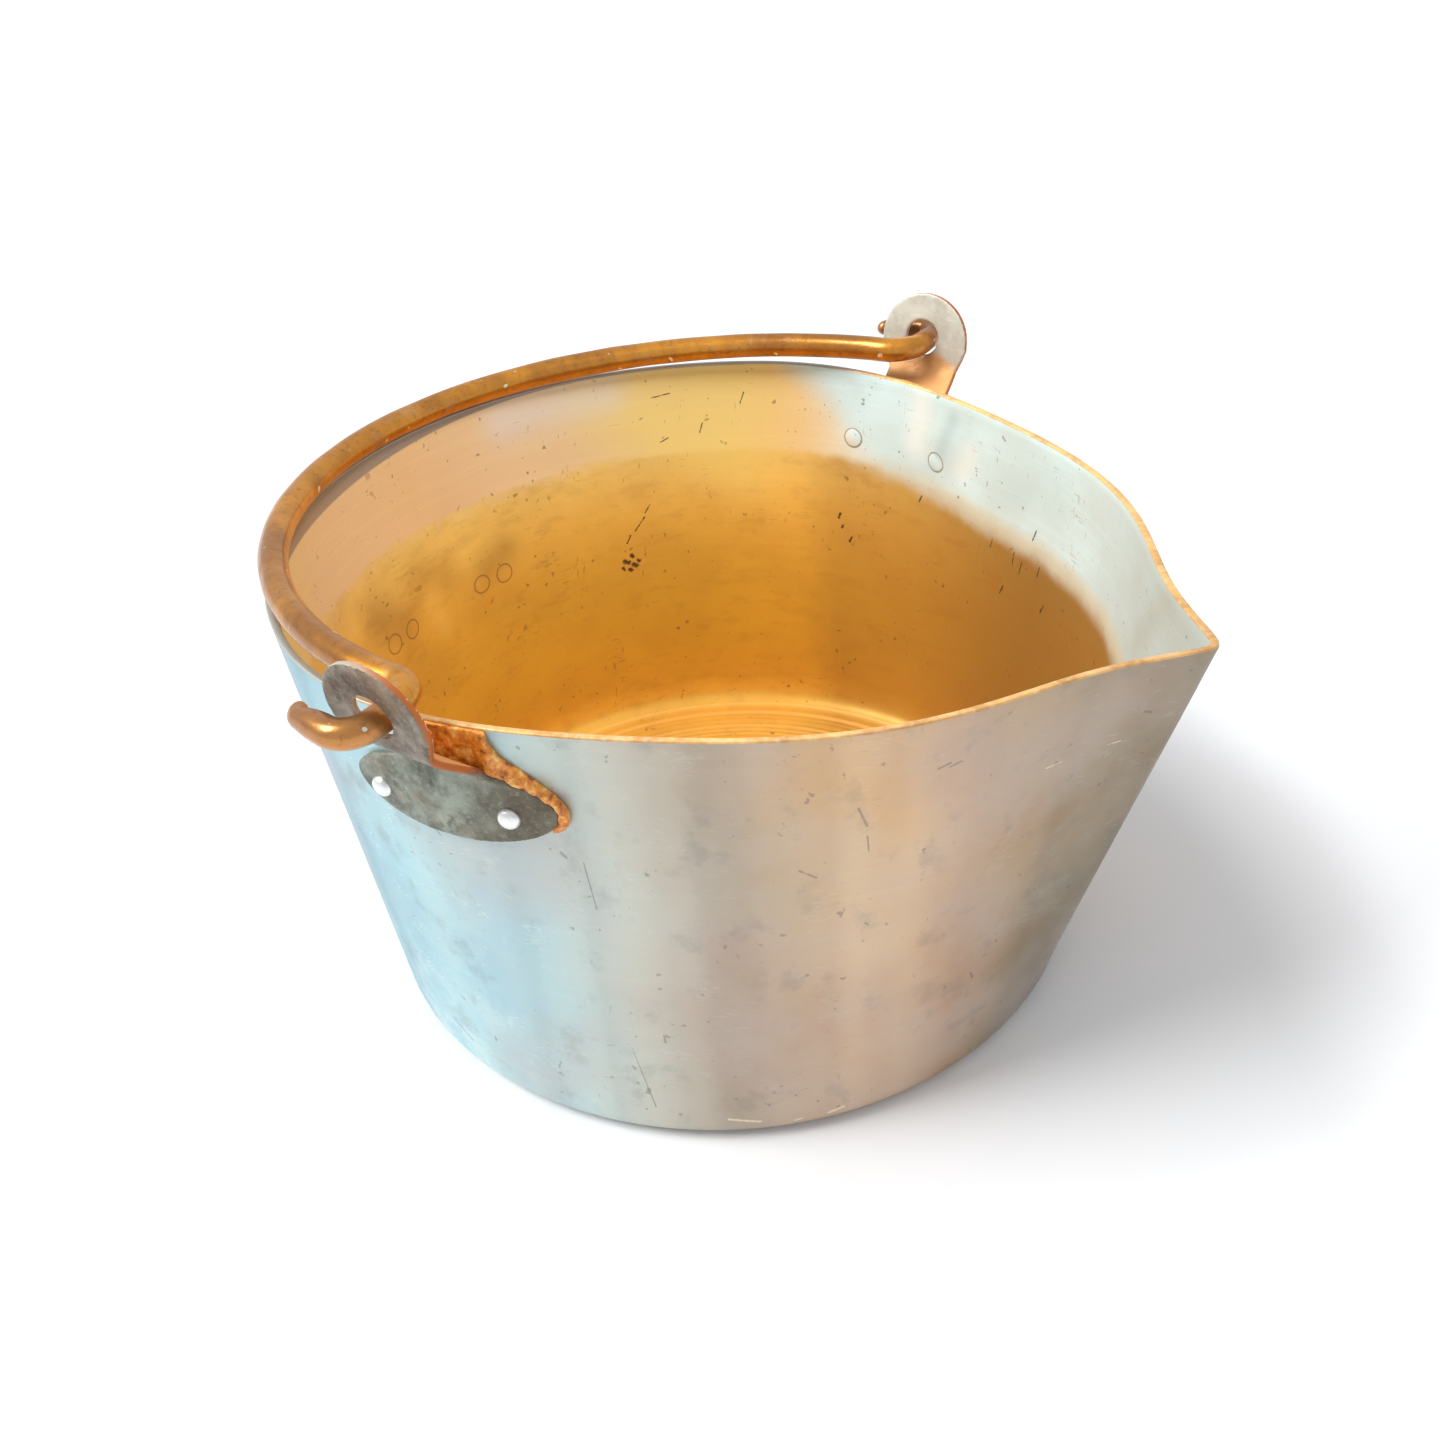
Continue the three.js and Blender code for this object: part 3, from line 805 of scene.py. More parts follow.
@functools.lru_cache(maxsize=None)
def line_mark() -> bpy.types.NodeTree:
    """Builds the group for one scratch or spot.

    Returns:
        A group giving 1 on the line from Start to End, fading to 0 at Width.
    """
    wires, given, made = new_group(
        "line_mark", {"Place": "vector", "Start": "vector", "End": "vector", "Width": 0.001, "Ragged": 0.3},
        ("Mask", "Glow"))

    def vector(operation: str, first: object, second: object) -> bpy.types.Node:
        """Adds one vector operation.

        Args:
            operation: Its name.
            first: The first vector.
            second: The second vector.

        Returns:
            Its node.
        """
        item = wires.node("ShaderNodeVectorMath", operation=operation)
        wires.feed(item.inputs[0], first)
        wires.feed(item.inputs[1], second)
        return item

    run = vector("SUBTRACT", given["End"], given["Start"]).outputs[0]
    reach = vector("SUBTRACT", given["Place"], given["Start"]).outputs[0]
    length = wires.math("MAXIMUM", vector("DOT_PRODUCT", run, run).outputs["Value"], 1e-9)
    share = wires.math("DIVIDE", vector("DOT_PRODUCT", reach, run).outputs["Value"], length)
    held = wires.node("ShaderNodeClamp")
    wires.feed(held.inputs[0], share)
    along = wires.node("ShaderNodeVectorMath", operation="SCALE")
    wires.feed(along.inputs[0], run)
    wires.feed(along.inputs["Scale"], held.outputs[0])
    gap = vector("DISTANCE", reach, along.outputs[0]).outputs["Value"]
    near = wires.math("SUBTRACT", 1.0, wires.math("DIVIDE", gap, given["Width"]))
    ragged = wires.times(wires.level(wires.noise(given["Place"], 700.0), -2.0, 2.0), given["Ragged"])
    wires.feed(made["Mask"], wires.ease(wires.add(near, ragged), 0.0, 0.7))
    wires.feed(made["Glow"], wires.math("POWER", wires.ease(near, 0.0, 1.0), 1.4))
    return wires.tree


@functools.lru_cache(maxsize=None)
def short_nicks() -> bpy.types.NodeTree:
    """Builds the group for sparse short scratches in two directions.

    Returns:
        A group giving 1 on each nick.
    """
    wires, given, made = new_group("short_nicks", {"Place": "vector", "Amount": 0.5}, ("Mask",))
    masks = []
    for turn, scale in (((0.3, 0.2, 0.4), (150, 150, 1500)), ((1.2, 0.5, 0.1), (1300, 160, 200))):
        line = wires.noise(wires.stretch(given["Place"], scale, turn), 1.0, 1.0, 0.4)
        where = wires.noise(given["Place"], 45.0, 2.0, 0.5)
        worn = wires.add(line, wires.times(where, given["Amount"]))
        masks.append(wires.ease(worn, 1.04, 1.12))
    wires.feed(made["Mask"], wires.math("MAXIMUM", *masks))
    return wires.tree


@dataclass(frozen=True)
class Finish:
    """A material. Each kind fills in the colour, roughness and relief."""

    name: str
    metallic: float = 0.6
    coat: float = 0.0

    def build(self) -> bpy.types.Material:
        """Builds the material once.

        Returns:
            The material.
        """
        made = bpy.data.materials.get(self.name)
        if made:
            return made
        made = bpy.data.materials.new(self.name)
        made.use_nodes = True
        made.node_tree.nodes.clear()
        wires = Wiring(made.node_tree)
        shader = wires.node("ShaderNodeBsdfPrincipled")
        output = wires.node("ShaderNodeOutputMaterial")
        wires.feed(output.inputs["Surface"], shader.outputs[0])
        shader.inputs["Metallic"].default_value = self.metallic
        shader.inputs["Coat Weight"].default_value = self.coat
        self.wire(wires, shader)
        return made

    def wire(self, wires: Wiring, shader: bpy.types.Node) -> None:
        """Fills in the material's nodes."""
        raise NotImplementedError

    def relief(self, wires: Wiring, shader: bpy.types.Node, height: object, depth: float) -> None:
        """Adds a bump.

        Args:
            wires: The material's wiring.
            shader: Its shader.
            height: Height from 0 to 1.
            depth: What a height of 1 means, in metres.
        """
        bump = wires.node("ShaderNodeBump")
        bump.inputs["Strength"].default_value = 1.0
        bump.inputs["Distance"].default_value = depth
        wires.feed(bump.inputs["Height"], height)
        wires.feed(shader.inputs["Normal"], bump.outputs[0])


@dataclass(frozen=True)
class Mark:
    """A scratch, stain or spot on the wall, from one place to another."""

    start: tuple[float, float]
    end: tuple[float, float]
    width: float
    inside: bool = False

    def ends(self, plan: PanPlan) -> list[Vector]:
        """Finds the mark's two ends on the wall.

        Args:
            plan: The wall that it lies on.

        Returns:
            Both ends in the shared frame.
        """
        outward = -plan.wall if self.inside else 0.0
        ends = (self.start, self.end)
        return [plan.seat(math.radians(angle), height * MM, outward) for angle, height in ends]

    def mask(self, wires: Wiring, place: object, plan: PanPlan, ragged: float = 0.3,
             output: str = "Mask") -> bpy.types.NodeSocket:
        """Adds the mark to a material.

        Args:
            wires: The material's wiring.
            place: Where the shader is.
            plan: The wall it lies on.
            ragged: How uneven its edge is.
            output: "Mask" for a crisp mark, or "Glow" for a soft one.

        Returns:
            The mark's mask.
        """
        start, end = self.ends(plan)
        made = wires.group(line_mark(), Place=place, Start=start, End=end, Width=self.width * MM,
                           Ragged=ragged)
        return made.outputs[output]


def marks_mask(wires: Wiring, place: object, plan: PanPlan, marks: tuple[Mark, ...],
               ragged: float = 0.3) -> bpy.types.NodeSocket:
    """Puts several marks into one mask.

    Args:
        wires: The material's wiring.
        place: Where the shader is.
        plan: The wall that they lie on.
        marks: The marks.
        ragged: How uneven their edges are.

    Returns:
        A mask that is 1 on any of them.
    """
    mask = 0.0
    for mark in marks:
        mask = wires.math("MAXIMUM", mask, mark.mask(wires, place, plan, ragged))
    return mask


@dataclass(frozen=True)
class OuterSheet(Finish):
    """Dull aluminium with rubs, nicks and scratches, and painted reflections: cool at the ears, warm beige
    towards the lip, with painted shade at the lip itself.
    """

    plan: PanPlan | None = None
    dark_marks: tuple[Mark, ...] = (
        Mark((-37.2, 134), (-38.2, 141), 0.6), Mark((-36.9, 124), (-37.1, 130), 0.45),
        Mark((-29.0, 150.0), (-27.6, 151.0), 0.6), Mark((-27.6, 149.6), (-26.2, 150.6), 0.5),
        Mark((-45.2, 119.6), (-43.2, 116.4), 0.6), Mark((-20.6, 53.5), (-20.1, 50.5), 0.7),
        Mark((-69.2, 44), (-68.0, 30), 0.3), Mark((-68.0, 30), (-66.8, 16), 0.4),
        Mark((-102.4, 23), (-98.5, 17), 0.6), Mark((-74.8, 125), (-74.2, 123.4), 0.7),
        Mark((-94, 130), (-92, 122), 0.45), Mark((-72, 122), (-71.2, 104), 0.35),
    )
    bright_marks: tuple[Mark, ...] = (
        Mark((-14.5, 135.6), (-5.8, 137.2), 0.35), Mark((-56.4, 11.0), (-52.0, 9.0), 0.7),
        Mark((-42.0, 7.6), (-39.8, 9.0), 0.9), Mark((-47.0, 7.0), (-46.0, 7.6), 0.6),
    )

    def tones(self, wires: Wiring, place: object, lip: object, up: object) -> bpy.types.NodeSocket:
        """Mixes the sheet's broad tones, mostly painted reflection and shade.

        Args:
            wires: The material's wiring.
            place: Where the shader is.
            lip: Degrees from the lip.
            up: Height in millimetres.

        Returns:
            The colour before wear.
        """
        around = wires.math("DIVIDE", lip, 180.0)
        wander = wires.level(wires.noise(place, 9.0, 2.0), -0.05, 0.05)
        bands = wires.rings(lip, 0.1, 1.0)
        # Painted reflections round the pan: cool blue at the ears, warm beige on the flanks, grey at the
        # back, and dark olive at the lip as painted shade.
        base = wires.ramp(wires.add(around, wander), [
            (0.0, 118, 102, 76), (0.08, 180, 152, 120), (0.15, 202, 156, 114),
            (0.22, 208, 170, 126), (0.3, 166, 144, 122), (0.39, 202, 201, 188),
            (0.46, 170, 206, 210), (0.56, 186, 224, 230), (0.65, 96, 156, 178),
            (0.8, 168, 194, 200), (1.0, 182, 190, 190),
        ])
        base = wires.wash(base, wires.ease(bands, 0.4, 0.66), 0.28, (226, 216, 202), "SOFT_LIGHT")
        base = wires.wash(base, wires.ease(bands, 0.52, 0.3), 0.3, (104, 96, 96), "SOFT_LIGHT")
        scuffed = wires.times(wires.ease(up, 74.0, 12.0), wires.ease(lip, 70.0, 98.0))
        scuffed = wires.times(scuffed, wires.patches(place, 0.44, 0.62, 46.0, 6.0, 0.7))
        base = wires.wash(base, scuffed, 0.4, (236, 248, 246))
        cool = wires.ease(lip, 70.0, 92.0)
        deep = wires.times(wires.patches(place, 0.46, 0.62, 17.0, 4.0, 0.6), cool)
        base = wires.wash(base, deep, 0.4, (150, 182, 204))
        turned = wires.stretch(place, (1.4, 1.3, 1.2), (0.5, 0.3, 1.0))
        rubs = wires.group(short_nicks(), Place=turned, Amount=0.66).outputs["Mask"]
        pale = wires.times(rubs, wires.level(cool, 0.25, 1.0))
        base = wires.wash(base, pale, 0.34, (240, 250, 244))
        # Painted shade: the lower wall near the lip darkened.
        low = wires.times(wires.ease(up, 120.0, 20.0), wires.ease(lip, 30.0, 4.0))
        base = wires.wash(base, low, 0.7, (122, 114, 92))
        # Painted highlight: a soft warm glow on the flank towards the lip.
        warm_highlight = Mark((-37, 84), (-28, 128), 34.0).mask(wires, place, self.plan, 0.05, "Glow")
        base = wires.wash(base, warm_highlight, 0.35, (232, 206, 166))
        # Painted highlight: a warm bright band with sharp edges on the flank.
        facet_highlight = wires.times(wires.ease(lip, 42.0, 38.5), wires.ease(lip, 22.0, 37.0))
        base = wires.wash(base, facet_highlight, 0.3, (240, 208, 164))
        rosy = wires.patches(place, 0.48, 0.66, 13.0, 2.0)
        base = wires.wash(base, rosy, 0.35, (188, 160, 152))
        return base

    def wire(self, wires: Wiring, shader: bpy.types.Node) -> None:
        """Fills in the material's nodes.

        Args:
            wires: The material's wiring.
            shader: The shader that they feed.
        """
        place = wires.place()
        spot = wires.group(wall_place(), Place=place).outputs
        up = spot["Height"]
        grain = wires.group(worn_grain(), Place=place, Cloud_Scale=24.0).outputs
        base = self.tones(wires, place, spot["From Lip"], up)
        base = wires.mix(wires.level(grain["Clouds"], 0.0, 0.22), base, tint(224, 226, 218))
        dull = wires.patches(place, 0.52, 0.7, 60.0, 5.0, 0.65)
        base = wires.wash(base, dull, 0.26, (120, 120, 118))
        base = wires.wash(base, grain["Pits"], 0.45, (96, 92, 88))
        base = wires.mix(wires.level(grain["Streaks"], 0.0, 0.14), base, tint(110, 112, 112))
        nicks = wires.group(short_nicks(), Place=place, Amount=0.5).outputs["Mask"]
        base = wires.wash(base, nicks, 0.3, (108, 108, 104))
        foot = wires.ease(up, 5.0, 1.0)
        base = wires.wash(base, foot, 0.5, (150, 146, 138))
        dark = marks_mask(wires, place, self.plan, self.dark_marks)
        bright = marks_mask(wires, place, self.plan, self.bright_marks)
        base = wires.wash(base, dark, 0.48, (104, 98, 90))
        base = wires.wash(base, bright, 0.7, (240, 224, 190))
        wires.feed(shader.inputs["Base Color"], base)
        wires.feed(shader.inputs["Roughness"], wires.level(grain["Clouds"], 0.38, 0.52))
        height = wires.add(wires.times(grain["Streaks"], 0.35), wires.level(grain["Clouds"], 0.0, 1.0))
        height = wires.math("SUBTRACT", height, wires.times(dark, 0.5))
        self.relief(wires, shader, height, 0.05 * MM)


@dataclass(frozen=True)
class InnerSheet(Finish):
    """The inside: golden below the tide line, stain under a painted reflection of warm light; bare metal
    above it, with painted cool and warm reflections.
    """

    plan: PanPlan | None = None
    tide: float = 129.0
    rivets: tuple[Vector, ...] = ()
    ring_radius: float = 4.2 * MM
    dark_marks: tuple[Mark, ...] = (
        Mark((142.3, 81.5), (141.6, 80.6), 1.6, True), Mark((140.6, 79.4), (140.2, 78.8), 1.9, True),
        Mark((141.6, 77.2), (141.2, 76.6), 1.2, True), Mark((142.8, 78.4), (142.6, 77.8), 1.0, True),
        Mark((140.9, 84.0), (140.6, 83.2), 1.2, True), Mark((139.8, 81.2), (139.5, 80.6), 1.1, True),
        Mark((141.4, 90.0), (140.6, 93.4), 0.5, True), Mark((139.6, 95.2), (137.6, 101.0), 0.45, True),
        Mark((137.4, 103.0), (136.4, 106.4), 0.4, True), Mark((100.9, 100.4), (100.6, 102.4), 0.9, True),
        Mark((100.2, 96.0), (100.0, 97.0), 0.8, True), Mark((98.6, 90.0), (98.2, 92.0), 0.8, True),
        Mark((83.8, 118.0), (83.2, 121.0), 0.5, True), Mark((62.8, 94.0), (62.0, 98.0), 0.5, True),
        Mark((51.2, 98.0), (50.4, 102.0), 0.5, True), Mark((126.2, 137.8), (125.6, 142.0), 0.4, True),
        Mark((133.2, 134.8), (131.8, 136.4), 0.4, True), Mark((118.9, 150.0), (118.2, 155.0), 0.35, True),
        Mark((134.0, 155.0), (130.8, 156.2), 0.35, True), Mark((55.0, 126.0), (54.2, 131.0), 0.5, True),
        Mark((58.0, 108.0), (57.4, 114.0), 0.35, True), Mark((60.0, 110.0), (59.6, 116.0), 0.35, True),
        Mark((53.0, 112.0), (52.5, 117.0), 0.4, True), Mark((66.0, 112.0), (65.5, 116.0), 0.35, True),
    )
    # Soft smudges of stain, and painted highlights, shade and reflections, each with its share and colour.
    clouds: tuple[tuple[Mark, float, Display], ...] = (
        (Mark((190.0, 99), (196.0, 108), 20.0, True), 0.42, (138, 90, 34)),
        (Mark((169.0, 101), (165.0, 104), 16.0, True), 0.42, (138, 90, 34)),
        (Mark((178.0, 106), (184.0, 112), 17.0, True), 0.3, (138, 90, 34)),
        # Painted highlight: a vertical streak of gold.
        (Mark((181.0, 84), (182.0, 100), 10.0, True), 0.25, (250, 206, 110)),
        # Painted shade in the crease beside a dent, then painted highlights on either side of it.
        (Mark((79.0, 144), (76.5, 160), 7.0, True), 0.34, (140, 176, 184)),
        (Mark((85.0, 144), (84.0, 162), 13.0, True), 0.6, (244, 255, 255)),
        (Mark((74.0, 139), (72.0, 148), 10.0, True), 0.5, (244, 255, 255)),
        # Painted cool reflection.
        (Mark((60.0, 140), (50.0, 150), 16.0, True), 0.3, (186, 216, 218)),
        (Mark((14.0, 140), (9.0, 165), 13.0, True), 0.35, (172, 180, 168)),
        # Painted warm highlight across the back wall.
        (Mark((145.0, 160), (120.0, 120), 30.0, True), 0.3, (255, 230, 130)),
        (Mark((160.0, 158), (142.0, 160), 20.0, True), 0.4, (226, 230, 240)),
    )

    def gold(self, wires: Wiring, lip: object, height: object) -> bpy.types.NodeSocket:
        """Mixes the gold below the tide line: stain under a painted reflection of warm light.

        Args:
            wires: The material's wiring.
            lip: Degrees from the lip.
            height: Height in millimetres, made uneven.

        Returns:
            The colour.
        """
        # Painted warm reflection, darker lower down, with a painted highlight at the foot corner where the
        # ramp starts bright.
        gold = wires.ramp(wires.math("DIVIDE", height, 140.0), [
            (0.0, 232, 174, 68), (0.06, 244, 188, 78), (0.12, 214, 154, 48), (0.3, 206, 156, 48),
            (0.55, 218, 166, 58), (0.75, 250, 196, 88), (0.9, 255, 218, 124), (1.0, 255, 222, 138),
        ])
        right = wires.times(wires.add(wires.ease(lip, 113.0, 98.0), wires.ease(lip, 100.0, 50.0)), 0.5)
        return wires.wash(gold, right, 0.82, (108, 80, 44))

    def upper_reflections(self, wires: Wiring, place: object, lip: object, height: object) -> bpy.types.NodeSocket:
        """Mixes the bare metal above the tide line with painted reflections, cool at the lip and warm at the
        back.

        Args:
            wires: The material's wiring.
            place: Where the shader is.
            lip: Degrees from the lip.
            height: Height in millimetres, made uneven.

        Returns:
            The colour.
        """
        # Painted warm reflection on the back wall.
        back = wires.ramp(wires.math("DIVIDE", lip, 180.0), [
            (0.0, 214, 232, 238), (0.12, 196, 214, 208), (0.3, 214, 246, 252), (0.46, 222, 250, 255),
            (0.54, 226, 236, 224), (0.6, 248, 212, 146), (0.66, 255, 228, 140), (0.76, 254, 226, 150),
            (0.84, 250, 220, 178), (1.0, 240, 198, 144),
        ])
        lean = wires.add(lip, wires.times(wires.math("SUBTRACT", 168.0, height), 0.42))
        # Painted cool reflection of daylight towards the lip.
        cool = wires.mix(wires.ease(lip, 10.0, 50.0), tint(192, 212, 212), tint(216, 248, 255))
        cool = wires.wash(cool, wires.patches(place, 0.4, 0.62, 36.0, 3.0), 0.25, (190, 216, 216))
        return wires.mix(wires.ease(lean, 104.0, 116.0), cool, back)

    def tide_marks(self, wires: Wiring, place: object, lip: object, height: object,
                   stains: object) -> bpy.types.NodeSocket:
        """Joins both metals along the tide line, with its cream and its crumbs of scale.

        Args:
            wires: The material's wiring.
            place: Where the shader is.
            lip: Degrees from the lip.
            height: Height in millimetres, made uneven.
            stains: Cloudy mask for the stains below.

        Returns:
            The colour.
        """
        drop = wires.level(wires.ease(lip, 104.0, 60.0), 0.0, 8.0)
        edge = wires.add(wires.math("SUBTRACT", height, self.tide), drop)
        front, sharp = wires.ease(lip, 104.0, 86.0), wires.ease(edge, -2.5, 2.5)
        above = wires.mix(front, sharp, wires.ease(edge, -7.0, 5.0))
        base = wires.mix(above, self.gold(wires, lip, height), self.upper_reflections(wires, place, lip, height))
        near = wires.times(wires.ease(edge, -8.0, 1.0), wires.ease(edge, 9.0, 1.5))
        base = wires.wash(base, wires.times(near, wires.ease(lip, 108.0, 70.0)), 0.62, (214, 212, 180))
        line = wires.times(wires.ease(edge, -5.5, -2.5), wires.ease(edge, 0.5, -1.5))
        line = wires.times(line, wires.ease(lip, 128.0, 150.0))
        crumbs = wires.patches(place, 0.42, 0.6, 260.0, 3.0, 0.6)
        base = wires.wash(base, wires.times(line, crumbs), 0.6, (255, 222, 158))
        below = wires.math("SUBTRACT", 1.0, above)
        base = wires.wash(base, wires.times(below, stains), 0.2, (166, 104, 38))
        mottle = wires.patches(wires.stretch(place, (60, 60, 150)), 0.5, 0.68, 1.0, 5.0, 0.65)
        return wires.wash(base, wires.times(mottle, below), 0.16, (150, 92, 30))

    def shadows(self, wires: Wiring, base: object, across: object, lip: object,
                up: object) -> bpy.types.NodeSocket:
        """Darkens the top of the back wall, under where the bail rests.

        Args:
            wires: The material's wiring.
            base: The colour so far.
            across: The shader's Y in metres.
            lip: Degrees from the lip.
            up: Height in millimetres.

        Returns:
            The new colour.
        """
        behind = wires.times(wires.ease(across, 90 * MM, -70 * MM), 6.5)
        under = wires.times(wires.ease(wires.add(up, behind), 166.6, 167.4), wires.ease(lip, 112.0, 122.0))
        base = wires.wash(base, under, 0.85, (146, 134, 128))
        shade = wires.times(wires.ease(across, 10 * MM, -100 * MM), wires.ease(lip, 100.0, 130.0))
        return wires.wash(base, shade, 0.35, (150, 110, 72))

    def rivet_rings(self, wires: Wiring, place: object) -> bpy.types.NodeSocket:
        """Draws the dark line round each rivet's inner head.

        Args:
            wires: The material's wiring.
            place: Where the shader is.

        Returns:
            A mask that is 1 on the rings.
        """
        ring = 0.0
        for rivet in self.rivets:
            gap = wires.node("ShaderNodeVectorMath", operation="DISTANCE")
            wires.feed(gap.inputs[0], place)
            gap.inputs[1].default_value = rivet
            off = wires.math("ABSOLUTE", wires.math("SUBTRACT", gap.outputs["Value"], self.ring_radius))
            ring = wires.math("MAXIMUM", ring, wires.ease(off, 0.55 * MM, 0.1 * MM))
        return ring

    def wire(self, wires: Wiring, shader: bpy.types.Node) -> None:
        """Fills in the material's nodes.

        Args:
            wires: The material's wiring.
            shader: The shader that they feed.
        """
        place = wires.place()
        spot = wires.group(wall_place(), Place=place).outputs
        lip, up = spot["From Lip"], spot["Height"]
        grain = wires.group(worn_grain(), Place=place, Cloud_Scale=30.0, Pit_Scale=330.0).outputs
        height = wires.add(up, wires.level(wires.noise(place, 40.0, 4.0, 0.6), -4.0, 4.0))
        base = self.tide_marks(wires, place, lip, height, grain["Clouds"])
        spun = wires.ease(wires.rings(spot["Radius"], 0.35, 4.0), 0.45, 0.65)
        spun = wires.times(wires.ease(up, 5.0, 3.0), spun)
        base = wires.wash(base, spun, 0.45, (255, 206, 122))
        base = wires.mix(wires.level(grain["Streaks"], 0.0, 0.2), base, tint(160, 104, 48))
        base = wires.wash(base, grain["Pits"], 0.55, (92, 62, 34))
        nicks = wires.group(short_nicks(), Place=place, Amount=0.56).outputs["Mask"]
        base = wires.wash(base, nicks, 0.35, (112, 78, 42))
        for mark, share, colour in self.clouds:
            base = wires.wash(base, mark.mask(wires, place, self.plan, 0.05, "Glow"), share, colour)
        parts = wires.node("ShaderNodeSeparateXYZ")
        wires.feed(parts.inputs[0], place)
        base = self.shadows(wires, base, parts.outputs[1], lip, up)
        dark = marks_mask(wires, place, self.plan, self.dark_marks, 0.45)
        base = wires.wash(base, dark, 0.88, (44, 26, 34))
        base = wires.wash(base, self.rivet_rings(wires, place), 0.65, (112, 84, 54))
        wires.feed(shader.inputs["Base Color"], base)
        wires.feed(shader.inputs["Roughness"], wires.level(grain["Clouds"], 0.36, 0.5))
        relief = wires.add(wires.times(grain["Streaks"], 0.5), grain["Clouds"])
        relief = wires.add(relief, wires.times(spun, 0.6))
        self.relief(wires, shader, relief, 0.05 * MM)


@dataclass(frozen=True)
class RimEdge(Finish):
    """The cut edge of the sheet, golden as a painted reflection of warm light, greyer towards the back."""

    def wire(self, wires: Wiring, shader: bpy.types.Node) -> None:
        """Fills in the material's nodes.

        Args:
            wires: The material's wiring.
            shader: The shader that they feed.
        """
        place = wires.place()
        gold_patches = wires.patches(place, 0.4, 0.62, 60.0, 4.0, 0.6)
        fine = wires.patches(place, 0.4, 0.7, 500.0, 2.0)
        spot = wires.group(wall_place(), Place=place).outputs
        # Painted reflection: two golds of warm light, turning grey towards the back.
        base = wires.mix(gold_patches, tint(226, 178, 112), tint(196, 146, 88))
        base = wires.wash(base, fine, 0.25, (250, 226, 180))
        base = wires.mix(wires.ease(spot["From Lip"], 92.0, 106.0), base, tint(186, 184, 172))
        wires.feed(shader.inputs["Base Color"], base)
        wires.feed(shader.inputs["Roughness"], wires.level(gold_patches, 0.35, 0.5))
        self.relief(wires, shader, fine, 0.04 * MM)


@dataclass(frozen=True)
class BailCopper(Finish):
    """Brown, handled copper: orange where it is rubbed, with grey bloom and pale specks."""

    def wire(self, wires: Wiring, shader: bpy.types.Node) -> None:
        """Fills in the material's nodes.

        Args:
            wires: The material's wiring.
            shader: The shader that they feed.
        """
        place = wires.place()
        patches = wires.patches(place, 0.36, 0.64, 26.0, 5.0, 0.6)
        base = wires.mix(patches, tint(216, 146, 50), tint(166, 108, 44))
        bloom = wires.patches(place, 0.54, 0.7, 42.0, 5.0, 0.65)
        base = wires.wash(base, bloom, 0.32, (190, 156, 122))
        parts = wires.node("ShaderNodeSeparateXYZ")
        wires.feed(parts.inputs[0], place)
        ends = wires.ease(wires.math("ABSOLUTE", parts.outputs[1]), 150 * MM, 166 * MM)
        base = wires.wash(base, ends, 0.5, (176, 124, 88))
        fine = wires.noise(place, 420.0, 4.0, 0.7)
        base = wires.wash(base, wires.ease(fine, 0.5, 0.75), 0.45, (92, 54, 28))
        specks = wires.patches(place, 0.81, 0.85, 300.0, 0.0)
        base = wires.mix(specks, base, tint(236, 226, 206))
        wires.feed(shader.inputs["Base Color"], base)
        wires.feed(shader.inputs["Roughness"], wires.level(bloom, 0.28, 0.5))
        relief = wires.add(wires.times(fine, 0.6), patches)
        self.relief(wires, shader, relief, 0.12 * MM)


@dataclass(frozen=True)
class EarSteel(Finish):
    """Tinned steel gone grey and stained, paler inside, with rust at its edges."""

    face: EarFace = EarFace.OUTER

    def wire(self, wires: Wiring, shader: bpy.types.Node) -> None:
        """Fills in the material's nodes.

        Args:
            wires: The material's wiring.
            shader: The shader that they feed.
        """
        place = wires.place()
        spot = wires.group(wall_place(), Place=place).outputs
        cloud = wires.patches(place, 0.36, 0.64, 70.0, 6.0, 0.65)
        plate = wires.mix(cloud, tint(150, 156, 142), tint(104, 106, 94))
        upper = wires.mix(cloud, tint(150, 138, 122), tint(104, 94, 84))
        split = wires.ease(spot["Height"], 150.0, 160.0)
        base = wires.mix(split, plate, upper)
        stain = wires.patches(place, 0.54, 0.68, 120.0, 5.0, 0.7)
        base = wires.wash(base, stain, 0.6, (66, 60, 50))
        brown = wires.patches(place, 0.52, 0.64, 34.0, 4.0, 0.6)
        base = wires.wash(base, brown, 0.35, (140, 104, 66))
        forward = wires.ease(spot["From Lip"], 88.0, 78.0)
        base = wires.wash(base, forward, 0.65, (92, 72, 48))
        fine = wires.noise(place, 600.0, 4.0, 0.7)
        base = wires.wash(base, wires.ease(fine, 0.5, 0.7), 0.25, (190, 190, 180))
        if self.face is EarFace.INNER:
            pale = wires.mix(cloud, tint(214, 212, 198), tint(186, 180, 164))
            low = wires.ease(wires.add(spot["Height"], wires.level(cloud, -3.0, 3.0)), 178.0, 169.0)
            base = wires.mix(low, pale, tint(206, 150, 92))
        if self.face is EarFace.EDGE:
            rust = wires.ease(spot["From Lip"], 92.0, 84.0)
            worn = wires.mix(rust, tint(196, 188, 170), tint(190, 106, 48))
            base = wires.mix(wires.ease(spot["Height"], 152.0, 160.0), base, worn)
        wires.feed(shader.inputs["Base Color"], base)
        wires.feed(shader.inputs["Roughness"], wires.level(cloud, 0.42, 0.6))
        self.relief(wires, shader, wires.add(fine, stain), 0.08 * MM)


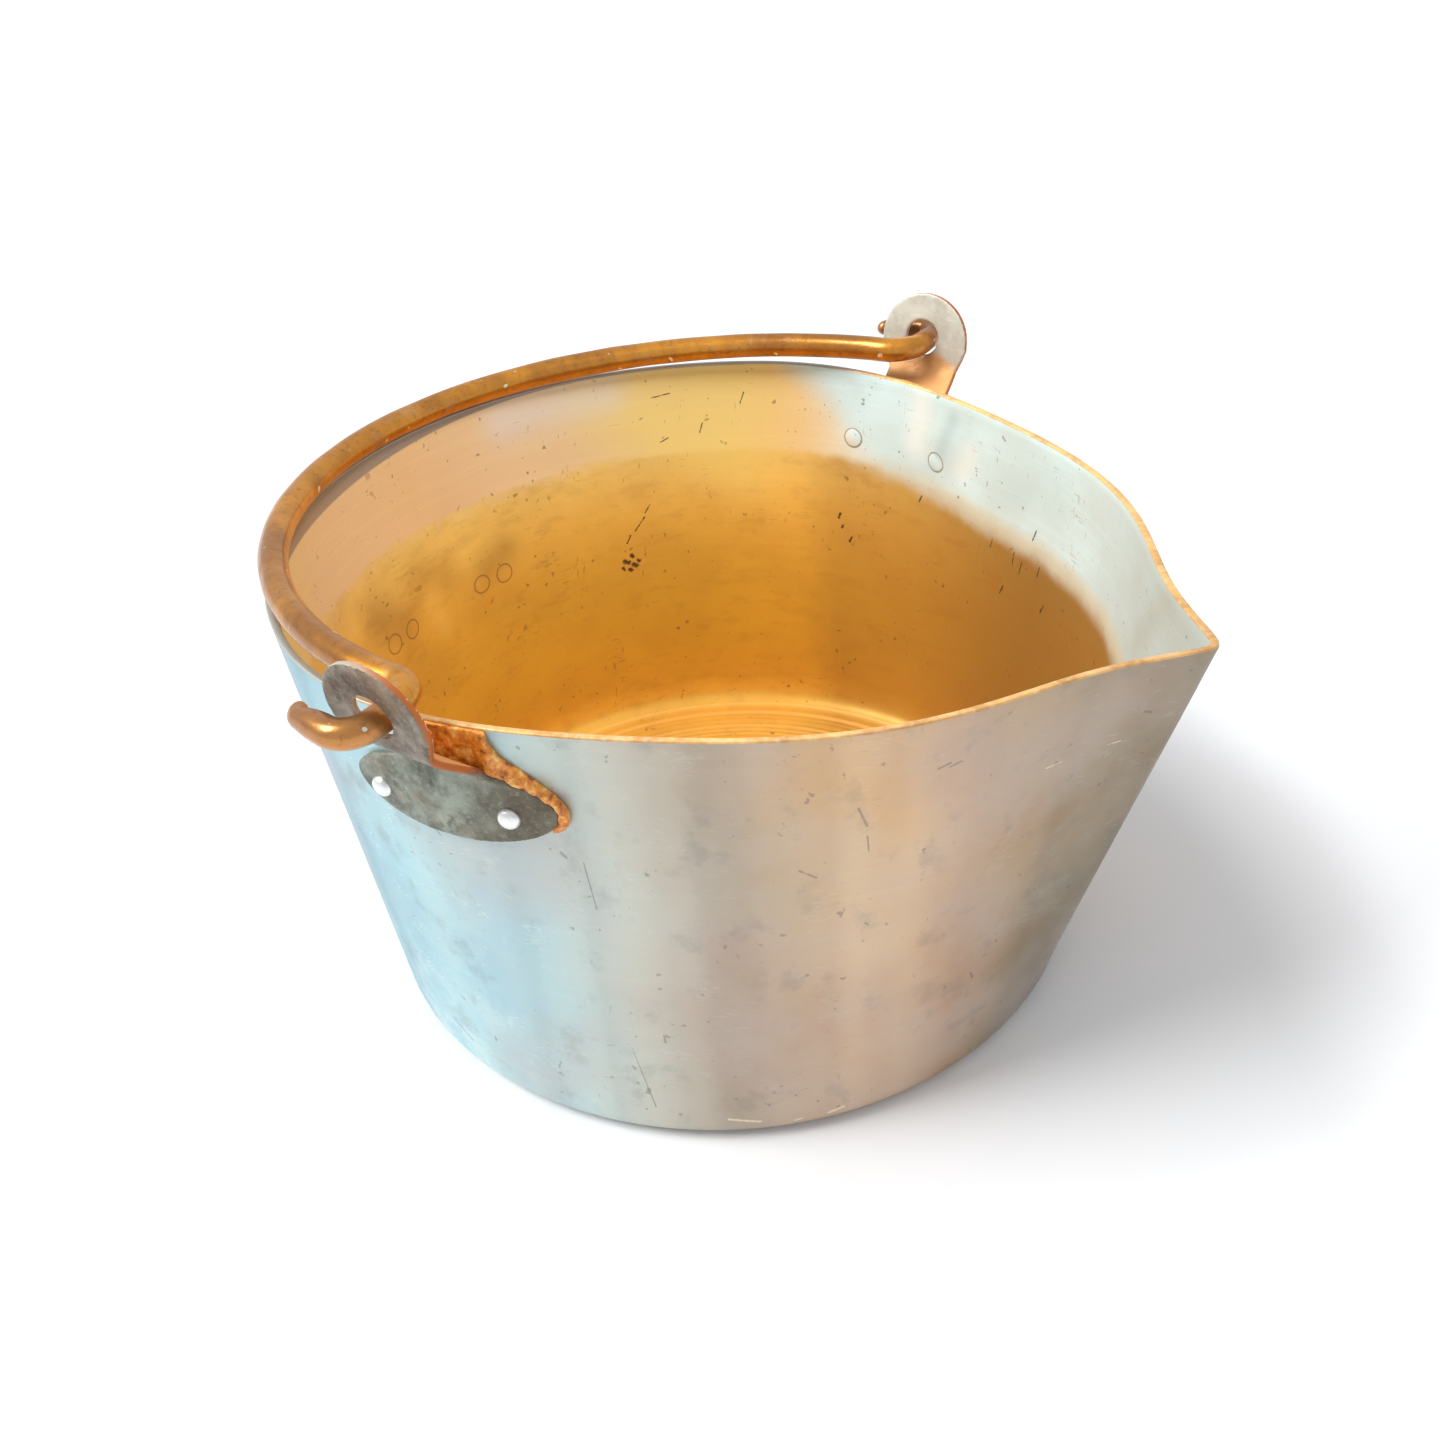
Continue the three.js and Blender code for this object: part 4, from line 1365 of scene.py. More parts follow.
@dataclass(frozen=True)
class RivetMetal(Finish):
    """Bright soft aluminium, dulled in places."""

    def wire(self, wires: Wiring, shader: bpy.types.Node) -> None:
        """Fills in the material's nodes.

        Args:
            wires: The material's wiring.
            shader: The shader that they feed.
        """
        place = wires.place()
        dull = wires.patches(place, 0.45, 0.65, 300.0, 4.0, 0.6)
        base = wires.mix(dull, tint(216, 212, 200), tint(176, 166, 146))
        wires.feed(shader.inputs["Base Color"], base)
        wires.feed(shader.inputs["Roughness"], wires.level(dull, 0.22, 0.4))
        self.relief(wires, shader, dull, 0.03 * MM)


@dataclass(frozen=True)
class BurntCrust(Finish):
    """Boiled-over sugar and rust: orange, dark in its pits, and shiny."""

    def wire(self, wires: Wiring, shader: bpy.types.Node) -> None:
        """Fills in the material's nodes.

        Args:
            wires: The material's wiring.
            shader: The shader that they feed.
        """
        place = wires.place()
        lump = wires.noise(place, 330.0, 5.0, 0.65)
        base = wires.ramp(wires.ease(lump, 0.3, 0.7), [
            (0.0, 140, 72, 18), (0.22, 206, 118, 32), (0.7, 236, 150, 50), (1.0, 252, 200, 112),
        ])
        wires.feed(shader.inputs["Base Color"], base)
        wires.feed(shader.inputs["Roughness"], wires.level(lump, 0.5, 0.22))
        self.relief(wires, shader, lump, 0.8 * MM)


# ---------------------------------------------------------------- sub-assemblies


@dataclass(frozen=True)
class Dent:
    """A soft dent pushed into the wall; a negative depth pushes outward."""

    angle: float
    height: float
    across: float
    depth: float


@dataclass
class PanShell:
    """The spun and pressed sheet, with its rolled foot and pouring lip."""

    plan: PanPlan
    steps: int = 360
    wall_step: float = 2.9 * MM
    floor_step: float = 6 * MM
    floor_radius: float = 120 * MM
    foot_inner: float = 7 * MM
    rim_round: float = 0.7 * MM
    ripple: float = 0.18 * MM
    ripple_size: float = 55 * MM
    ripple_starts: tuple[float, float] = (10 * MM, 60 * MM)
    ripple_stops: float = 150 * MM
    dents: tuple[Dent, ...] = (
        Dent(190.3, 97, 13, 1.3), Dent(172.0, 99, 12, 1.2), Dent(167.5, 96, 11, 0.9), Dent(183, 112, 18, 0.6),
        Dent(77.5, 147, 11, 0.9), Dent(73.0, 139, 9, -0.5), Dent(92.0, 150, 12, 0.5), Dent(66, 150, 14, 0.6),
        Dent(-47, 136, 12, 0.35), Dent(-46, 113, 9, 0.3), Dent(-34, 96, 16, 0.45), Dent(-66, 60, 22, 0.4),
    )
    finishes: tuple[bpy.types.Material, ...] = field(default=())

    def outline(self) -> bmesh.types.BMesh:
        """Draws the shell's cut section.

        Returns:
            Edges in X and Z, from the middle of the underside over the rim to the middle of the floor.
        """
        plan = self.plan
        top, wall = plan.rim_height, plan.wall
        bm, verts = section([
            (0, 0), (plan.foot_radius, 0), (plan.taper(top), top),
            (plan.taper(top) - wall, top), (plan.taper(wall) - wall, wall), (0, wall),
        ])
        for vert, radius, segments in ((verts[1], plan.foot_corner, 7), (verts[4], self.foot_inner, 7),
                                       (verts[2], self.rim_round, 3), (verts[3], self.rim_round, 3)):
            round_corners(bm, [vert], radius, segments)
        for edge in list(bm.edges):
            on_wall = sum(vert.co.x for vert in edge.verts) / 2 > self.floor_radius
            cuts = int(edge.calc_length() / (self.wall_step if on_wall else self.floor_step))
            if cuts:
                bmesh.ops.subdivide_edges(bm, edges=[edge], cuts=cuts)
        return bm

    def build(self) -> bpy.types.Object:
        """Spins the section, presses the lip and adds the dents.

        Returns:
            The finished shell.
        """
        bm = self.outline()
        spin(bm, self.steps)
        piece = from_bmesh("pan_shell", bm)
        for polygon in piece.data.polygons:
            polygon.material_index = self.zone(polygon.center, polygon.normal).value
        self.press(piece.data)
        for finish in self.finishes:
            piece.data.materials.append(finish)
        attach(piece, "pan")
        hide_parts("pan_body")
        return piece

    def zone(self, centre: Vector, normal: Vector) -> Zone:
        """Says which finish a face of the round shell takes.

        Args:
            centre: The face's middle.
            normal: Its outward direction.

        Returns:
            Its zone.
        """
        if centre.z > self.plan.rim_height - self.rim_round:
            return Zone.RIM
        outward = Vector((centre.x, centre.y, 0)).normalized().dot(normal)
        return Zone.INSIDE if normal.z > outward else Zone.OUTSIDE

    def press(self, mesh: bpy.types.Mesh) -> None:
        """Moves the round shell's points on to the pressed plan, then adds ripple and dents.

        Args:
            mesh: The shell's mesh.
        """
        plan, points = self.plan, points_of(mesh)
        angle, height = np.arctan2(points[:, 1], points[:, 0]), points[:, 2]
        inset = plan.taper(height) - np.hypot(points[:, 0], points[:, 1])
        square = np.minimum(inset, plan.wall)
        outer_face = plan.point(angle, height, np.zeros_like(height))
        mid_wall = plan.point(angle, np.full_like(height, 100 * MM), np.zeros_like(height))
        bow = smooth_step(height, *self.ripple_starts)
        bow *= smooth_step(height, plan.rim_height, self.ripple_stops)
        push = -self.ripple * lumps(mid_wall * [1, 1, 0] + points * [0, 0, 1], self.ripple_size) * bow
        for dent in self.dents:
            at = np.array(plan.seat(math.radians(dent.angle), dent.height * MM))
            gap = np.linalg.norm(outer_face - at, axis=1) / (dent.across * MM)
            push += dent.depth * MM * np.exp(-gap ** 2)
        push = np.where(inset > plan.wall + SAME_POINT * 10, 0, push)
        pressed = plan.point(angle, height, -square - push)
        pressed -= (inset - square)[:, None] * np.stack([np.cos(angle), np.sin(angle), 0 * angle], -1)
        middle = np.hypot(points[:, 0], points[:, 1]) < SAME_POINT * 10
        pressed[middle] = points[middle]
        move_points(mesh, pressed)


@dataclass
class Rivet:
    """One soft rivet: a dome outside, and a flat head inside."""

    plan: PanPlan
    node: str
    angle: float
    height: float
    plate: float
    outer: bpy.types.Material
    inner: bpy.types.Material
    shank: float = 2.5 * MM
    head: float = 3.65 * MM
    dome: float = 2.3 * MM
    inner_head: float = 4.0 * MM
    inner_proud: float = 0.45 * MM
    brim: float = 0.4 * MM
    soft: float = 0.35 * MM
    steps: int = 40

    def build(self) -> bpy.types.Object:
        """Spins the rivet and seats it on the wall.

        Returns:
            The finished rivet.
        """
        under = 2 * GAP + self.plate
        inside = -self.plan.wall - 0.02 * MM
        bm, verts = section([
            (0, inside - self.inner_proud), (self.inner_head, inside - self.inner_proud * 0.8),
            (self.inner_head, inside), (self.shank, inside), (self.shank, under - GAP),
            (self.head, under - GAP), (self.head, under + self.brim),
            (self.head * 0.82, under + self.dome * 0.66), (self.head * 0.45, under + self.dome * 0.94),
            (0, under + self.dome),
        ])
        round_corners(bm, [verts[1], *verts[6:9]], self.soft, 3)
        spin(bm, self.steps)
        for face in bm.faces:
            face.material_index = 1 if face.calc_center_median().z < 0 else 0
        turn = self.plan.normal(self.angle, self.height).to_track_quat("Z", "Y").to_matrix().to_4x4()
        seat = Matrix.Translation(self.plan.seat(self.angle, self.height)) @ turn
        bmesh.ops.transform(bm, matrix=seat, verts=bm.verts)
        piece = from_bmesh(self.node + ".look", bm)
        for finish in (self.outer, self.inner):
            piece.data.materials.append(finish)
        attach(piece, "pan")
        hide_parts(self.node)
        return piece


@dataclass
class BailEar:
    """An ear: an oval base on the wall, a neck stepped outward, and a leaning eye."""

    plan: PanPlan
    side: Side
    finishes: tuple[bpy.types.Material, ...]
    crust: bpy.types.Material
    centre_x: float = 4 * MM
    plate: float = 3 * MM
    look_plate: float = 2.5 * MM
    rivet_drop: float = 29.5 * MM
    base_half: tuple[float, float] = (34.5 * MM, 14 * MM)
    base_rise: float = 2 * MM
    standoff: float = 18 * MM
    lean: float = math.radians(9)
    eye_rise: float = 11.5 * MM
    eye_radius: float = 18.8 * MM
    eye_bore: float = 7.25 * MM
    eye_swell: float = 0.3 * MM
    eye_back: float = 1.0 * MM
    bore_shift: tuple[float, float] = (-1.8 * MM, 0.8 * MM)
    neck_half: float = 15 * MM
    neck_flare: float = 6 * MM
    step_low_drop: float = 12 * MM
    step_high_rise: float = 0.5 * MM
    bend: float = 3.2 * MM
    bead: float = 1.7 * MM
    bead_out: float = 0.9 * MM
    voxel: float = 0.55 * MM
    rivet_x: float = 1.5 * MM
    rivet_half: float = 22 * MM
    waist: float = 1.4 * MM
    root_drop: float = 2 * MM
    root_share: float = 0.985
    edge_slope: float = 0.45

    @property
    def rivet_height(self) -> float:
        """Height of both rivets."""
        return self.plan.rim_height - self.rivet_drop

    @property
    def base_height(self) -> float:
        """Height of the middle of the base oval."""
        return self.rivet_height + self.base_rise

    @property
    def step_heights(self) -> tuple[float, float]:
        """Heights where the neck starts and ends its step outward."""
        return self.plan.rim_height - self.step_low_drop, self.plan.rim_height + self.step_high_rise

    @property
    def eye_height(self) -> float:
        """Height of the middle of the eye."""
        return self.plan.rim_height + self.eye_rise

    @property
    def eye_out(self) -> float:
        """Distance from the middle plane to the middle of the plate at the eye."""
        rim = self.plan.rim_height
        angle = float(self.plan.angle_at_x(np.array(self.centre_x), Side.LEFT, np.array(rim)))
        return self.plan.seat(angle, rim).y + self.standoff

    def flat(self) -> bpy.types.Object:
        """Cuts the flat blank.

        Returns:
            The blank, standing in X and Z.
        """
        x, base = self.centre_x, self.base_height
        low, high = self.step_heights
        squash = math.cos(self.lean)
        half, flare = self.neck_half, self.neck_half + self.neck_flare
        middle, halfway = (half + flare) / 2 - self.waist, (base + low) / 2
        root, root_top = self.eye_radius * self.root_share, self.eye_height - self.root_drop
        foot = [(x - flare, base), (x + flare, base), (x + middle, halfway), (x + half, low),
                (x - half, low), (x - middle, halfway)]
        neck = [(x - half, low - self.plate), (x + half, low - self.plate), (x + half, high),
                (x + root, root_top), (x - root, root_top), (x - half, high)]
        thick = self.look_plate
        blank = oval_plate((x, base), self.base_half, thick)
        disc = (self.eye_radius + self.eye_swell, self.eye_radius * squash)
        combine(blank, [plate_from_outline(foot, thick), plate_from_outline(neck, thick),
                        oval_plate((x - self.eye_back, self.eye_height), disc, thick)], "UNION")
        bore = (x + self.bore_shift[0], self.eye_height + self.bore_shift[1])
        hole = oval_plate(bore, (self.eye_bore, self.eye_bore * squash), 4 * self.plate)
        combine(blank, [hole], "DIFFERENCE")
        return blank

    def sheet_out(self, x: np.ndarray, height: np.ndarray) -> np.ndarray:
        """Distance of the plate's middle from the middle plane.

        Args:
            x: Places along the pan.
            height: Heights above the table.

        Returns:
            Distances in metres.
        """
        plan, (low, high) = self.plan, self.step_heights
        off = GAP + self.plate / 2

        def wall(at_x: np.ndarray, at: np.ndarray) -> np.ndarray:
            """The plate's middle where it lies on the wall."""
            angle = plan.angle_at_x(at_x, Side.LEFT, at)
            return plan.point(angle, at, off)[..., 1]

        lean = math.tan(self.lean)
        knots = [low, high, self.eye_height + 2 * self.eye_radius]
        foot = float(wall(np.array(self.centre_x), np.array(low)))
        outs = [foot] + [self.eye_out + (knot - self.eye_height) * lean for knot in knots[1:]]
        ribbon = 0.0
        window = np.linspace(-1, 1, 9) * self.bend
        for shift in window:
            at = height + shift
            steps = np.interp(at, knots, outs)
            lower = foot + (at - low) * (plan.rim_radius - plan.foot_radius) / plan.rim_height
            ribbon = ribbon + np.where(at < low, lower, steps) / len(window)
        share = smooth_step(height, low - 7 * MM, low + 3 * MM)
        return wall(x, np.minimum(height, low + 3 * MM)) * (1 - share) + ribbon * share

    def bend_round(self, points: np.ndarray) -> np.ndarray:
        """Bends the flat blank on to the pan.

        Args:
            points: The blank's points.

        Returns:
            The bent points.
        """
        x, off, z = points[:, 0], points[:, 1], points[:, 2]
        step = 0.3 * MM

        def middle(at_x: np.ndarray, at_z: np.ndarray) -> np.ndarray:
            """The middle surface."""
            return np.stack([at_x, self.sheet_out(at_x, at_z), at_z], -1)

        across = middle(x + step, z) - middle(x - step, z)
        up = middle(x, z + step) - middle(x, z - step)
        normal = np.cross(up, across)
        normal /= np.linalg.norm(normal, axis=1)[:, None]
        bent = middle(x, z) + normal * off[:, None]
        bent[:, 1] *= self.side.value
        return bent

    def build(self) -> bpy.types.Object:
        """Makes the ear.

        Returns:
            The finished ear.
        """
        name = f"bail_ear_{self.side.name.lower()}"
        piece = remesh(self.flat(), self.voxel, 4)
        piece.name = name + ".look"
        move_points(piece.data, self.bend_round(points_of(piece.data)))
        soften(piece)
        piece.data.materials.clear()
        for finish in self.finishes:
            piece.data.materials.append(finish)
        for polygon in piece.data.polygons:
            facing = polygon.normal.y * self.side.value
            side_face = EarFace.OUTER if facing > 0 else EarFace.INNER
            polygon.material_index = (EarFace.EDGE if abs(facing) < self.edge_slope else side_face).value
        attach(piece, "pan")
        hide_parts(name)
        return piece

    def build_crust(self) -> bpy.types.Object:
        """Makes the crust on the wall above the front half of the base.

        Returns:
            The finished crust.
        """
        outline = [
            (6, 148), (-2, 160), (1, 167.6), (19.9, 167.4), (20.4, 163.5), (23, 158.9), (28, 155.2),
            (33, 151.4), (37.6, 146.6), (40.4, 142), (40.6, 137.6), (38, 133.6), (34, 133.6), (22, 144),
        ]
        thick, steps = 1.6 * MM, 24
        sheet = plate_from_outline([(x * MM, z * MM) for x, z in outline], thick)
        long, high = (half + self.bead_out for half in self.base_half)
        turns = [math.radians(66 - 92 * step / steps) for step in range(steps + 1)]
        middle = Vector((self.centre_x, 1.2 * MM, self.base_height))
        bead = [middle + Vector((long * math.cos(turn), 0.0, high * math.sin(turn))) for turn in turns]
        to_end = [min(step, steps - step) for step in range(steps + 1)]
        radii = [self.bead * min(1.0, 0.25 + step / 6) for step in to_end]
        piece = remesh(joined("crust", [sheet, rod("bead", bead, radii, 3)]), 0.5 * MM, 3)
        piece.name = f"ear_crust_{self.side.name.lower()}"
        points = points_of(piece.data)
        x, off, z = points[:, 0], points[:, 1] + thick / 2, points[:, 2]
        neck = 1.3 * MM * np.exp(-((x - self.centre_x - self.neck_half - MM) / (2.5 * MM)) ** 2)
        neck *= smooth_step(z, 150 * MM, 156 * MM) * smooth_step(z, 168 * MM, 163 * MM)
        coarse, fine = lumps(points, 3.5 * MM, 5.0), lumps(points, 1.6 * MM, 9.0)
        off = off * (1 + 0.4 * coarse + 0.25 * fine) + smooth_step(off, 0, thick) * neck
        angle = self.plan.angle_at_x(x, self.side, z)
        move_points(piece.data, self.plan.point(angle, z, off - 0.25 * MM))
        soften(piece)
        piece.data.materials.clear()
        piece.data.materials.append(self.crust)
        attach(piece, "pan")
        return piece


@dataclass
class Bail:
    """The swinging handle: half an ellipse of rod with a hook at each end."""

    ear: BailEar
    finish: bpy.types.Material
    rod: float = 5 * MM
    hook_rod: float = 4.25 * MM
    hook_swell: float = 0.4 * MM
    bow_swell: float = 0.2 * MM
    tip_taper: float = 0.32
    leg_out: float = 2 * MM
    bend: float = 12 * MM
    leg_lead: float = 4 * MM
    hook_clear: float = 0.8 * MM
    hook_bend: float = 8 * MM
    tip_clear: float = 1.45 * MM
    slant: float = 3 * MM
    tip_bend: float = 4.5 * MM
    tip: float = 5 * MM
    wobble: float = 0.16 * MM
    wobble_size: float = 14 * MM
    hook_run: float = 60 * MM
    bow_run: tuple[float, float] = (120 * MM, 200 * MM)
    tip_run: tuple[float, float] = (2 * MM, 16 * MM)
    steps: int = 160

    @property
    def reach(self) -> float:
        """Distance from the hinge axis to the back of the bow."""
        plan = self.ear.plan
        return plan.rim_radius + plan.back_stretch - plan.wall / 2 + self.ear.centre_x

    def path(self) -> list[Vector]:
        """Draws the rod's middle line flat, hinge axis along Y.

        Returns:
            Points from the right hook's tip to the left one's.
        """
        ear, reach = self.ear, self.reach
        half_width = ear.eye_out - ear.standoff + self.leg_out
        hook_out = (ear.plate / 2 + ear.eye_radius * math.sin(ear.lean)
                    + self.hook_clear + self.slant + self.hook_rod)
        hook_back = ear.eye_radius + self.hook_rod + self.tip_clear
        start = math.asin((self.bend + self.leg_lead) / reach)
        turns = [start + (math.pi - 2 * start) * i / self.steps for i in range(self.steps + 1)]
        bow = [Vector((-reach * math.sin(turn), -half_width * math.cos(turn), 0)) for turn in turns]
        hook_y = -(ear.eye_out + hook_out)
        half = [
            (Vector((-hook_back, hook_y + self.slant + self.tip, 0)), 0.0),
            (Vector((-hook_back, hook_y + self.slant, 0)), self.tip_bend),
            (Vector((0, hook_y, 0)), self.hook_bend),
            (Vector((0, bow[0].y, 0)), self.bend),
            (bow[0], 0.0),
        ]
        right = bent_path(half, 1.5 * MM)
        left = [Vector((p.x, -p.y, 0)) for p in reversed(right)]
        return right[:-1] + bow + left[1:]

    def build(self) -> bpy.types.Object:
        """Sweeps the rod and lays it on the back of the rim.

        Returns:
            The finished bail.
        """
        path = self.path()
        run = np.concatenate([[0], np.cumsum([(b - a).length for a, b in zip(path, path[1:])])])
        from_end = np.minimum(run, run[-1] - run)
        hook = self.hook_run
        radii = self.hook_rod + (self.rod - self.hook_rod) * smooth_step(from_end, 0.5 * hook, hook)
        radii = radii + self.hook_swell * smooth_step(from_end, hook, 0.4 * hook)
        radii = radii + self.bow_swell * smooth_step(from_end, *self.bow_run)
        radii = radii * (1 - self.tip_taper * (1 - smooth_step(from_end, *self.tip_run)))
        cap = np.clip(from_end / (self.hook_rod * 0.8), 0.02, 1)
        radii = radii * np.sqrt(1 - (1 - cap) ** 2)
        piece = rod("bail_handle.look", path, list(radii), 7)
        ear = self.ear
        drop = ear.eye_height - (ear.plan.rim_height + self.rod + GAP)
        points = points_of(piece.data)
        points += normals_of(piece.data) * (self.wobble * (lumps(points, self.wobble_size) - 0.5))[:, None]
        turn = np.array(Matrix.Rotation(-math.asin(drop / self.reach), 3, "Y"))
        points = points @ turn.T + [ear.centre_x, 0, ear.eye_height]
        move_points(piece.data, points)
        piece.data.materials.append(self.finish)
        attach(piece, "bail")
        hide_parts("bail_handle")
        return piece


@dataclass
class TippingHandle:
    """The small fixed handle low on the back, for tipping the pan."""

    plan: PanPlan
    finish: bpy.types.Material
    height: float = 94 * MM
    foot_spacing: float = 57 * MM
    foot_half: tuple[float, float] = (14 * MM, 12.5 * MM)
    foot_rise: float = 5 * MM
    leg_rise: float = 10 * MM
    plate: float = 2.5 * MM
    rod: float = 4 * MM
    reach: float = 36 * MM
    bend: float = 13 * MM
    rivet_half: float = 6.25 * MM

    def build(self) -> bpy.types.Object:
        """Makes the bar and both feet as one forged piece.

        Returns:
            The finished handle.
        """
        half, leg = self.foot_spacing / 2, self.height + self.leg_rise
        y, z = np.array([half]), np.array([leg])
        start = self.plan.point(self.plan.back_angle_at_y(y, z), z, 0.0)[0][0] - GAP - self.rod / 2
        grip = self.plan.seat(math.pi, leg).x - self.reach
        corners = [(Vector((start, -half, leg)), 0.0), (Vector((grip, -half, leg)), self.bend),
                   (Vector((grip, half, leg)), self.bend), (Vector((start, half, leg)), 0.0)]
        path = bent_path(corners, 2 * MM)
        parts = [rod("bar", path, [self.rod] * len(path))]
        for side in Side:
            foot = oval_plate((side.value * half, self.height + self.foot_rise), self.foot_half, self.plate)
            remesh(foot, 0.7 * MM, 2)
            points = points_of(foot.data)
            y, off, z = points[:, 0], points[:, 1], points[:, 2]
            angle = self.plan.back_angle_at_y(y, z)
            move_points(foot.data, self.plan.point(angle, z, GAP + self.plate / 2 + off))
            parts.append(foot)
        piece = remesh(joined("tipping_handle.look", parts), 0.6 * MM, 4)
        piece.data.materials.clear()
        piece.data.materials.append(self.finish)
        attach(piece, "pan")
        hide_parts("tipping_handle")
        return piece


@dataclass
class Studio:
    """The floor, the lights and the camera."""

    azimuth: float = 36.6
    elevation: float = 34.4
    roll: float = -4.4
    distance: float = 0.5595
    lens: float = 36.29
    look_up: float = 0.11
    target_height: float = 0.08
    floor_half: float = 12.0
    floor_white: float = 0.93
    sky: Colour = (0.95, 0.97, 1.0, 1.0)
    sky_strength: float = 0.66
    key_strength: float = 2.5
    key_angle: float = math.radians(30)
    key_colour: tuple[float, float, float] = (0.97, 0.985, 1.0)
    key_direction: tuple[float, float, float] = (0.6, 0.54, -0.86)
    fill_height: float = 0.36
    fill_watts: float = 7.0
    fill_colour: tuple[float, float, float] = (0.985, 0.985, 1.0)
    fill_size: float = 0.09
    fill_spread: float = math.radians(76)

    def camera(self) -> None:
        """Sets up the camera, looking down into the pan."""
        a, e, roll = (math.radians(v) for v in (self.azimuth, self.elevation, self.roll))
        back = Vector((math.sin(a) * math.cos(e), -math.cos(a) * math.cos(e), math.sin(e)))
        right = Vector((math.cos(a), math.sin(a), 0))
        up = back.cross(right)
        right, up = right * math.cos(roll) + up * math.sin(roll), up * math.cos(roll) - right * math.sin(roll)
        turn = Matrix.Rotation(math.radians(self.look_up), 3, right)
        data = bpy.data.cameras.new("camera")
        data.lens, data.sensor_width, data.clip_start, data.clip_end = self.lens, 36.0, 0.01, 50.0
        camera = bpy.data.objects.new("camera", data)
        axes = turn @ Matrix((right, up, back)).transposed()
        place = Vector((0, 0, self.target_height)) + back * self.distance
        camera.matrix_world = Matrix.Translation(place) @ axes.to_4x4()
        bpy.context.scene.collection.objects.link(camera)
        bpy.context.scene.camera = camera

    def floor(self) -> None:
        """Lays the pale floor."""
        bm = bmesh.new()
        bmesh.ops.create_grid(bm, x_segments=1, y_segments=1, size=self.floor_half)
        bmesh.ops.translate(bm, verts=bm.verts, vec=(0, 0, -0.2 * MM))
        floor = from_bmesh("floor", bm)
        paint = bpy.data.materials.new("floor_white")
        paint.use_nodes = True
        shader = paint.node_tree.nodes["Principled BSDF"]
        shader.inputs["Base Color"].default_value = (self.floor_white,) * 3 + (1,)
        shader.inputs["Roughness"].default_value = 0.95
        shader.inputs["Specular IOR Level"].default_value = 0.0
        floor.data.materials.append(paint)

    def lamp(self, name: str, data: bpy.types.Light, strength: float,
             colour: Sequence[float]) -> bpy.types.Object:
        """Adds a light.

        Args:
            name: The light's name.
            data: Its settings.
            strength: Its power.
            colour: Red, green and blue.

        Returns:
            The light's object.
        """
        data.energy, data.color = strength, colour
        lamp = bpy.data.objects.new(name, data)
        bpy.context.scene.collection.objects.link(lamp)
        return lamp

    def light(self) -> None:
        """Sets up the sky, the soft key light and the fill light over the pan."""
        world = bpy.data.worlds.new("studio")
        world.use_nodes = True
        background = world.node_tree.nodes["Background"]
        background.inputs["Color"].default_value = self.sky
        background.inputs["Strength"].default_value = self.sky_strength
        bpy.context.scene.world = world
        sun = bpy.data.lights.new("key", "SUN")
        sun.angle = self.key_angle
        key = self.lamp("key", sun, self.key_strength, self.key_colour)
        key.rotation_mode = "QUATERNION"
        key.rotation_quaternion = Vector(self.key_direction).to_track_quat("-Z", "Y")
        spot = bpy.data.lights.new("fill", "SPOT")
        spot.shadow_soft_size, spot.spot_size, spot.spot_blend = self.fill_size, self.fill_spread, 0.2
        fill = self.lamp("fill", spot, self.fill_watts, self.fill_colour)
        fill.location = (0, 0, self.fill_height)
        fill.visible_camera, fill.visible_glossy = False, False

    def build(self) -> None:
        """Sets up the whole studio."""
        self.camera()
        self.floor()
        self.light()
        view = bpy.context.scene.view_settings
        view.view_transform, view.look = "Standard", "None"


